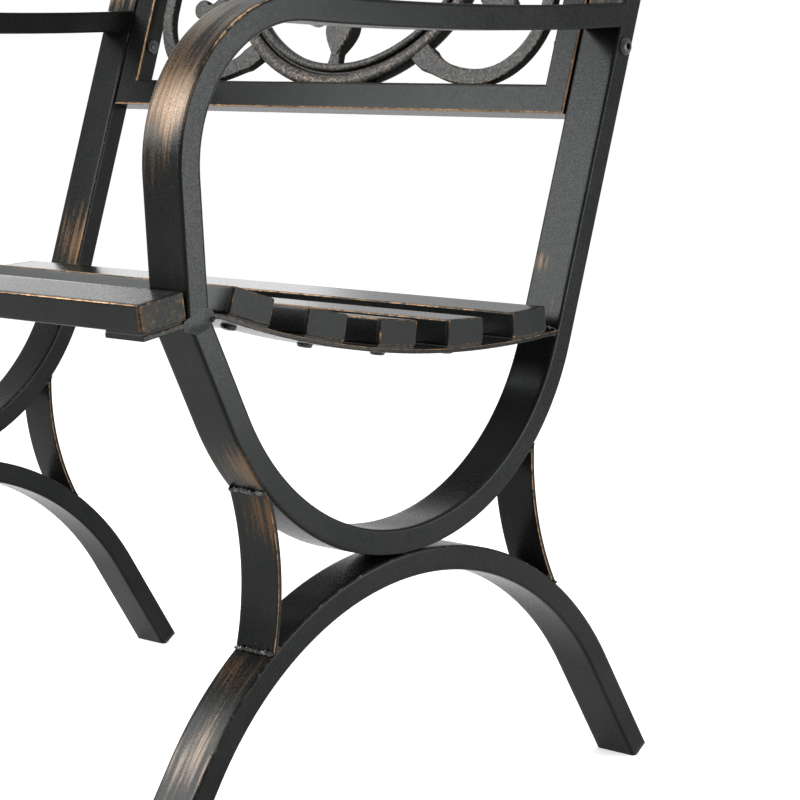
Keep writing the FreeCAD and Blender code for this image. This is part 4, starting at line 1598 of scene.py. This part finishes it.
    def build(self, shop: Workshop) -> None:
        """Makes the rails, stiles, bolts and nuts.

        Args:
            shop: Workshop that finishes them.
        """
        for node, shell in self.members().items():
            shop.piece(node + "_painted", [shell], Slot.TUBE, [node])
        shop.piece("back_bolt_heads", self.bolts(), Slot.STEEL, ["back_bolts"])
        shop.piece("back_flat_nuts", self.nuts(), Slot.STEEL, ["back_nuts"])


# Full amount on the casting's front and back faces: bronze flecks there, and a lighter grey that leaves the
# sides dark as painted shade.
CAST_FACES = (Stroke(Face.PLUS, 0.0, 100.0, 1.0), Stroke(Face.MINUS, 0.0, 100.0, 1.0))
CAST_EDGES = Paintwork(CAST_FACES, (0.9, 0.9, 0.9, 0.9))


@dataclass
class Casting:
    """Cast scroll panel: grooved oval, four scrolls, four leaves with curls and a boss."""

    back: BackFrame
    cast_thickness: float = 9 * MM
    cast_forward: float = 1.4 * MM
    cast_corner: float = 1.7 * MM
    land_depth: float = 0.4 * MM
    ring_end_radius: float = 162 * MM
    ring_half_width: float = 148 * MM
    ring_band: float = 24 * MM
    ring_sink: float = 5 * MM
    ring_back: float = 6 * MM
    ring_shoulder: float = 1.5 * MM
    outer_bead_share: float = 0.56
    outer_bead_rise: float = 5 * MM
    groove_width: float = 3 * MM
    groove_depth: float = 1.5 * MM
    scroll_band: float = 15.5 * MM
    scroll_end_band: float = 11.5 * MM
    scroll_start: float = 102 * MM
    scroll_outer_radius: float = 66 * MM
    scroll_side_gap: float = 12 * MM
    scroll_rise: float = 20 * MM
    scroll_over_radius: float = 38 * MM
    scroll_lead_radius: float = 115 * MM
    scroll_curl_radius: float = 22 * MM
    scroll_curl_turn: float = 110.0
    scroll_tip_radius: float = 9.5 * MM
    flare_size: float = 3 * MM
    flare_start: float = 16 * MM
    flare_fade: float = 7 * MM
    flare_end: float = 60 * MM
    leaf_thickness: float = 15 * MM
    leaf_half_width: float = 16.5 * MM
    leaf_stem: float = 6 * MM
    leaf_neck_height: float = 7 * MM
    leaf_belly_height: float = 34 * MM
    leaf_length: float = 92 * MM
    leaf_tip: float = 4 * MM
    leaf_bud: float = 3.2 * MM
    leaf_thinning: float = 2.2 * MM
    leaf_corner: float = 2.4 * MM
    leaf_end_gap: float = 2 * MM
    leaf_step: float = 1.5 * MM
    stem_root: float = 3 * MM
    stem_flare: float = 4 * MM
    stem_flare_fade: float = 3.2 * MM
    curl_band: float = 12 * MM
    curl_start: float = 29 * MM
    curl_heading: float = 45.0
    curl_radius: float = 22.5 * MM
    curl_drop: float = 26 * MM
    lobe_radius: float = 14 * MM
    boss_radius: float = 22 * MM
    lobe_edge: float = 3 * MM
    lobe_bulge: tuple[float, float, float] = (0.3 * MM, 0.9 * MM, 1.1 * MM)

    def __post_init__(self) -> None:
        """Works out the panel's own plane about its middle."""
        plane = self.back.plane
        half = self.back.back_opening / 2
        self.half_height = half
        middle = plane.lift(np.array(0.0), np.array(half)) + self.cast_forward * plane.across()
        self.middle = tuple(float(value) for value in middle)
        self.up = plane.second
        self.ring_half_height = half + self.ring_sink - self.ring_band / 2

    def quarter(self, right: int, top: int) -> Plane:
        """Panel plane mirrored sideways or upside down.

        Args:
            right: 1 or -1 for the sign of the first axis.
            top: 1 or -1 for the sign of the second.

        Returns:
            The plane.
        """
        return Plane(self.middle, (float(right), 0.0, 0.0), tuple(top * value for value in self.up))

    def ring_profile(self) -> Profile:
        """Oval's section: flat back, broad outer bead, groove and narrow inner bead.

        Over half a turn t each bead lies at its middle + half width * cos(t), as high as the shoulder +
        rise * sin(t)^0.8. The groove is the same with a rise below 0 and the power 1.

        Returns:
            Section whose offsets hold its whole shape, so that the sizes given to the sweep are zero.
        """
        outer = self.ring_band / 2
        split = outer - self.outer_bead_share * self.ring_band
        inner = split - self.groove_width
        spans = ((outer, split, self.outer_bead_rise, 14), (split, inner, -self.groove_depth, 6),
                 (inner, -outer, (inner + outer) / 2, 10))
        radial, high = [np.array([outer, outer])], [np.array([-self.ring_back, -0.5 * self.ring_back])]
        for start, stop, rise, count in spans:
            t = np.linspace(0, 180, count, endpoint=False)
            radial.append((start + stop) / 2 + (start - stop) / 2 * cosine(t))
            high.append(self.ring_shoulder + rise * sine(t) ** (0.8 if rise > 0 else 1.0))
        back = np.linspace(-outer, outer, 6)[:-1]
        radial += [np.array([-outer]), back]
        high += [np.array([self.ring_shoulder]), np.full(back.size, -self.ring_back)]
        left, across = -np.concatenate(radial), np.concatenate(high)
        points = np.stack([across, left], 1)
        edge = np.roll(points, -1, 0) - np.roll(points, 1, 0)
        normal = np.stack([edge[:, 1], -edge[:, 0]], 1) / np.linalg.norm(edge, axis=1)[:, None]
        rim = np.clip((across - self.ring_shoulder) / self.outer_bead_rise, 0, 1) ** 2
        return Profile(np.zeros_like(points), points, normal, np.outer(rim, (1, 0, 0, 0)), 0.0)

    def ring(self) -> Shell:
        """Oval of four tangent arcs about the panel's middle, flattened where it meets the rails.

        Returns:
            The skin.
        """
        rise = self.ring_end_radius - self.ring_half_height
        slack = self.ring_end_radius - self.ring_half_width
        shift = (rise ** 2 - slack ** 2) / (2 * slack)
        side_radius = self.ring_half_width - shift
        share = math.degrees(math.atan2(shift, rise))
        route = Route(self.quarter(1, 1), 0, -self.ring_half_height, 0, 3 * MM)
        route.arc(self.ring_end_radius, share).arc(side_radius, 180 - 2 * share)
        route.arc(self.ring_end_radius, 2 * share).arc(side_radius, 180 - 2 * share)
        route.arc(self.ring_end_radius, share)
        whole = route.trace()
        trace = Trace(whole.points[:-1], whole.tangents[:-1], whole.lefts[:-1], whole.across,
                      whole.along[:-1])
        work = Paintwork(CAST_FACES, (0.8, 0, 0, 0))
        return self.flattened(sweep(trace, self.ring_profile(), 0.0, 0.0, 0.0, work, loop=True))

    def flattened(self, shell: Shell) -> Shell:
        """Pushes points that lie past the rails back onto them, along the panel's upright.

        Args:
            shell: Skin in the panel.

        Returns:
            The skin with those points moved.
        """
        high = (shell.points - np.array(self.middle)) @ np.array(self.up)
        over = high - np.clip(high, -self.half_height, self.half_height)
        points = shell.points - np.outer(over, self.up)
        return replace(shell, points=points)

    def scroll(self, plane: Plane) -> Shell:
        """Scroll from the oval to the rail, up beside the stile and over into a curl.

        Half width falls evenly from the oval to the curl, flares at the oval and swells to a round tip:
        half(s) = even + size * exp(-(s - start) / fade), at most even + size, and
        sqrt(r^2 - (s - end)^2) over the tip.

        Args:
            plane: One of the four mirrored panel planes.

        Returns:
            The skin.
        """
        low = self.scroll_band / 2 - self.land_depth - self.half_height
        turn = self.back.inner - self.scroll_side_gap - self.scroll_band / 2 - self.scroll_outer_radius
        lead = math.degrees(math.asin((turn - self.scroll_start) / self.scroll_lead_radius))
        high = low + self.scroll_lead_radius * (1 - cosine(lead))
        route = Route(plane, self.scroll_start, high, -lead, 2 * MM)
        route.arc(self.scroll_lead_radius, lead).arc(self.scroll_outer_radius, 90).line(self.scroll_rise)
        route.arc(self.scroll_over_radius, 180).arc(self.scroll_curl_radius, self.scroll_curl_turn)
        tip = route.end[3]
        route.spacing = 0.7 * MM
        route.line(self.scroll_tip_radius - 0.1 * MM)
        trace = route.trace()
        even = np.interp(trace.along, [0, tip], [self.scroll_band / 2, self.scroll_end_band / 2])
        fade = np.exp(-np.maximum(trace.along - self.flare_start, 0) / self.flare_fade)
        even = even + self.flare_size * fade * (trace.along < self.flare_end)
        bulb = np.sqrt(np.maximum(self.scroll_tip_radius ** 2 - (trace.along - tip) ** 2, 0))
        half = np.maximum(even * (trace.along <= tip), bulb)
        half = np.maximum(half, self.cast_corner + 0.2 * MM)
        shell = sweep(trace, box_profile(self.cast_corner), self.cast_thickness / 2, -half, half, CAST_EDGES)
        return self.flattened(shell)

    def leaf(self, plane: Plane, base: float) -> list[Shell]:
        """Leaf pad on a thinner stem, from the oval's inner edge to the boss.

        The pad's half width rises from the bud's to the belly's as the sine of a quarter turn to the power
        1.15, and falls to the tip's as the cosine of one to the power 1.1. The stem widens towards the oval
        by flare * exp(-s / fade).

        Args:
            plane: Panel plane whose second axis points from the leaf to the boss.
            base: Distance from the boss's middle to the oval's inner edge.

        Returns:
            Skins of the stem and of the pad.
        """
        route = Route(plane, 0, -base - self.stem_root, 90, self.leaf_step).line(self.leaf_belly_height)
        trace = route.trace()
        flare = self.stem_flare * np.exp(-trace.along / self.stem_flare_fade)
        stem = sweep(trace, box_profile(self.cast_corner), self.cast_thickness / 2,
                     -self.leaf_stem - flare, self.leaf_stem + flare, CAST_EDGES)
        length = base - self.leaf_neck_height - self.leaf_end_gap
        trace = Route(plane, 0, self.leaf_neck_height - base, 90, self.leaf_step).line(length).trace()
        rise = np.clip(trace.along / (self.leaf_belly_height - self.leaf_neck_height), 0, 1)
        fall = np.clip((trace.along - self.leaf_belly_height + self.leaf_neck_height)
                       / (self.leaf_length - self.leaf_belly_height), 0, 1)
        half = self.leaf_bud + (self.leaf_half_width - self.leaf_bud) * sine(90 * rise) ** 1.15
        taper = self.leaf_tip + (self.leaf_half_width - self.leaf_tip) * cosine(90 * fall) ** 1.1
        half = np.where(fall > 0, taper, half)
        thick = self.leaf_thickness / 2 - self.leaf_thinning * (1 - rise) ** 2
        pad = sweep(trace, box_profile(self.leaf_corner, 5), thick, -half, half, CAST_EDGES)
        return [stem, pad]

    def puck(self, plane: Plane, a: float, b: float, radius: float) -> Shell:
        """Round lobe: a disc with a flat back, a front that bulges by about a millimetre and a round rim.

        Args:
            plane: Panel plane, mirrored or not.
            a: Place of its middle along the plane's first axis.
            b: Place of its middle along the second.
            radius: Its radius.

        Returns:
            The skin.
        """
        t = np.linspace(-90, 90, 17)
        edge, half = self.lobe_edge, self.leaf_thickness / 2
        reach = np.concatenate([[0.02, 0.5, 0.85], np.ones(17), [0.85, 0.5, 0.02]]) * (radius - edge)
        reach[3:20] += edge * cosine(t)
        rim = np.where(t < 0, -half + edge, half - edge) + edge * sine(t)
        high = np.concatenate([[-half, -half, -half + 0.2 * MM], rim,
                               [half + bulge for bulge in self.lobe_bulge]])
        centre = plane.lift(np.array(a), np.array(b))
        # Fronts and backs get the full amount and the round rim none, so the rim is kept dark as painted
        # shade.
        return turned(centre, self.quarter(1, 1).across(), np.array([1.0, 0, 0]), reach, high, 40,
                      brush=np.clip(1.5 * np.abs(high) / half, 0, 1))

    def curl(self, plane: Plane) -> list[Shell]:
        """Curl of the motif, drooping from the stem to a round lobe.

        Args:
            plane: One of the four mirrored panel planes.

        Returns:
            Skins of the band and of the lobe.
        """
        route = Route(plane, 0, -self.curl_start, self.curl_heading, 1.5 * MM)
        route.arc(self.curl_radius, -90 - self.curl_heading).line(self.curl_drop)
        ends = [0.58 * self.curl_band, 0.45 * self.curl_band]
        half = np.interp(route.places[:, 3], [0, route.end[3]], ends)
        band = sweep(route.trace(), box_profile(self.cast_corner), self.cast_thickness / 2, -half, half,
                     CAST_EDGES)
        return [band, self.puck(plane, route.end[0], route.end[1], self.lobe_radius)]

    def build(self, shop: Workshop) -> None:
        """Makes the casting's pieces.

        Args:
            shop: Workshop that finishes them.
        """
        quarters = [self.quarter(right, top) for right in (1, -1) for top in (1, -1)]
        shop.piece("casting_oval", [self.ring()], Slot.CAST, ["cast_panel"])
        shop.piece("casting_scrolls", [self.scroll(plane) for plane in quarters], Slot.CAST)
        upright = self.ring_half_height - self.ring_band / 2
        sideways = self.ring_half_width - self.ring_band / 2
        leaves = self.leaf(self.quarter(1, 1), upright) + self.leaf(self.quarter(1, -1), upright)
        across = (1.0, 0.0, 0.0)
        for way in (1, -1):
            flat = Plane(self.middle, tuple(-way * value for value in self.up),
                         tuple(way * value for value in across))
            leaves += self.leaf(flat, sideways)
        leaves.append(self.puck(self.quarter(1, 1), 0, 0, self.boss_radius))
        shop.piece("casting_leaves", leaves, Slot.CAST)
        curls = [shell for plane in quarters for shell in self.curl(plane)]
        shop.piece("casting_curls", curls, Slot.CAST)


def seeing_rays(tree: bpy.types.NodeTree) -> bpy.types.NodeSocket:
    """Marks the rays that see the white studio: the camera's, and those that gloss or glass sends on.

    Args:
        tree: Node tree that gets the nodes.

    Returns:
        1 for those rays and 0 for the others.
    """
    path = tree.nodes.new("ShaderNodeLightPath").outputs
    found = path["Is Camera Ray"]
    for kind in ("Is Glossy Ray", "Is Transmission Ray"):
        either = tree.nodes.new("ShaderNodeMath")
        either.operation = "MAXIMUM"
        tree.links.new(found, either.inputs[0])
        tree.links.new(path[kind], either.inputs[1])
        found = either.outputs[0]
    return found


@dataclass(frozen=True)
class Lamp:
    """Oblong soft lamp: its middle, the point that it faces, its width and height, and its power in watts."""

    name: str
    place: tuple[float, float, float]
    aim: tuple[float, float, float]
    size: tuple[float, float]
    energy: float


@dataclass
class Studio:
    """Camera, pale floor, white surround and soft lamps."""

    camera_place: tuple[float, float, float] = (1.56365, -1.42429, 0.61233)
    camera_turn: float = 42.12214
    camera_down: float = 8.88743
    lens: float = 109.7662
    shift: float = 0.04
    sensor: float = 36
    floor_half: float = 30.0
    floor_grey: float = 0.86
    floor_glow: float = 0.5
    sky: float = 0.6
    lamps: tuple[Lamp, ...] = (
        Lamp("overhead", (0.2, 0.3, 2.9), (0, 0, 0.4), (2.4, 2.4), 40),
        Lamp("left_front", (-1.12, -1.4, 1.3), (0, -0.1, 0.5), (0.9, 0.9), 44),
        Lamp("right_rear", (2.1, 1.04, 0.45), (0.32, -0.25, 0.5), (0.95, 0.8), 36),
        Lamp("left_rear", (-1.98, 1.22, 1.05), (0, 0, 0.45), (1.5, 0.8), 9),
    )

    def camera(self) -> None:
        """Camera at the picture's viewing angle."""
        data = bpy.data.cameras.new("camera")
        data.lens = self.lens
        data.sensor_width = self.sensor
        data.shift_y = self.shift
        made = bpy.data.objects.new("camera", data)
        made.location = self.camera_place
        made.rotation_euler = (math.radians(90 - self.camera_down), 0, math.radians(self.camera_turn))
        bpy.context.scene.collection.objects.link(made)
        bpy.context.scene.camera = made

    def floor(self) -> None:
        """Pale floor that keeps the chair's shadow, with a glow for the camera and for reflections."""
        half = self.floor_half
        mesh = bpy.data.meshes.new("floor")
        corners = [(-half, -half, 0), (half, -half, 0), (half, half, 0), (-half, half, 0)]
        mesh.from_pydata(corners, [], [(0, 1, 2, 3)])
        made = bpy.data.objects.new("floor", mesh)
        bpy.context.scene.collection.objects.link(made)
        graph = Graph("pale_floor")
        graph.shader.inputs["Base Color"].default_value = (self.floor_grey,) * 3 + (1,)
        graph.shader.inputs["Roughness"].default_value = 0.9
        graph.shader.inputs["Specular IOR Level"].default_value = 0.0
        graph.shader.inputs["Emission Color"].default_value = (1, 1, 1, 1)
        glow = graph.sums("MULTIPLY", seeing_rays(graph.tree), self.floor_glow)
        graph.put(graph.shader.inputs["Emission Strength"], glow)
        mesh.materials.append(graph.material)

    def surround(self) -> None:
        """Surround that is white to the camera and in reflections, and gives an even soft light."""
        world = bpy.data.worlds.new("surround")
        bpy.context.scene.world = world
        world.use_nodes = True
        tree = world.node_tree
        tree.nodes.clear()
        new, link = tree.nodes.new, tree.links.new
        output, mix = new("ShaderNodeOutputWorld"), new("ShaderNodeMixShader")
        light, white = new("ShaderNodeBackground"), new("ShaderNodeBackground")
        for node, strength in ((light, self.sky), (white, 1.0)):
            node.inputs["Color"].default_value = (1, 1, 1, 1)
            node.inputs["Strength"].default_value = strength
        link(seeing_rays(tree), mix.inputs[0])
        link(light.outputs[0], mix.inputs[1])
        link(white.outputs[0], mix.inputs[2])
        link(mix.outputs[0], output.inputs[0])

    def hang(self, lamp: Lamp) -> None:
        """Hangs a lamp that the camera doesn't see.

        Args:
            lamp: The lamp.
        """
        data = bpy.data.lights.new(lamp.name, "AREA")
        data.shape = "RECTANGLE"
        data.size, data.size_y = lamp.size
        data.energy = lamp.energy
        made = bpy.data.objects.new(lamp.name, data)
        made.location = lamp.place
        way = Vector(lamp.aim) - made.location
        made.rotation_euler = way.to_track_quat("-Z", "Y").to_euler()
        made.visible_camera = False
        bpy.context.scene.collection.objects.link(made)

    def build(self) -> None:
        """Sets up the whole studio."""
        bpy.context.scene.view_settings.view_transform = "Standard"
        self.camera()
        self.floor()
        self.surround()
        for lamp in self.lamps:
            self.hang(lamp)


def main() -> None:
    """Builds the chair's sub-assemblies in order, then the studio."""
    logging.basicConfig(level=logging.INFO, format="%(message)s")
    shop = Workshop()
    sides = {side: SideFrame(side) for side in Side}
    for side_frame in sides.values():
        side_frame.build(shop)
    Seat(sides[Side.RIGHT]).build(shop)
    back = BackFrame(sides[Side.RIGHT])
    back.build(shop)
    Casting(back).build(shop)
    Studio().build()


if __name__ == "__main__":
    main()
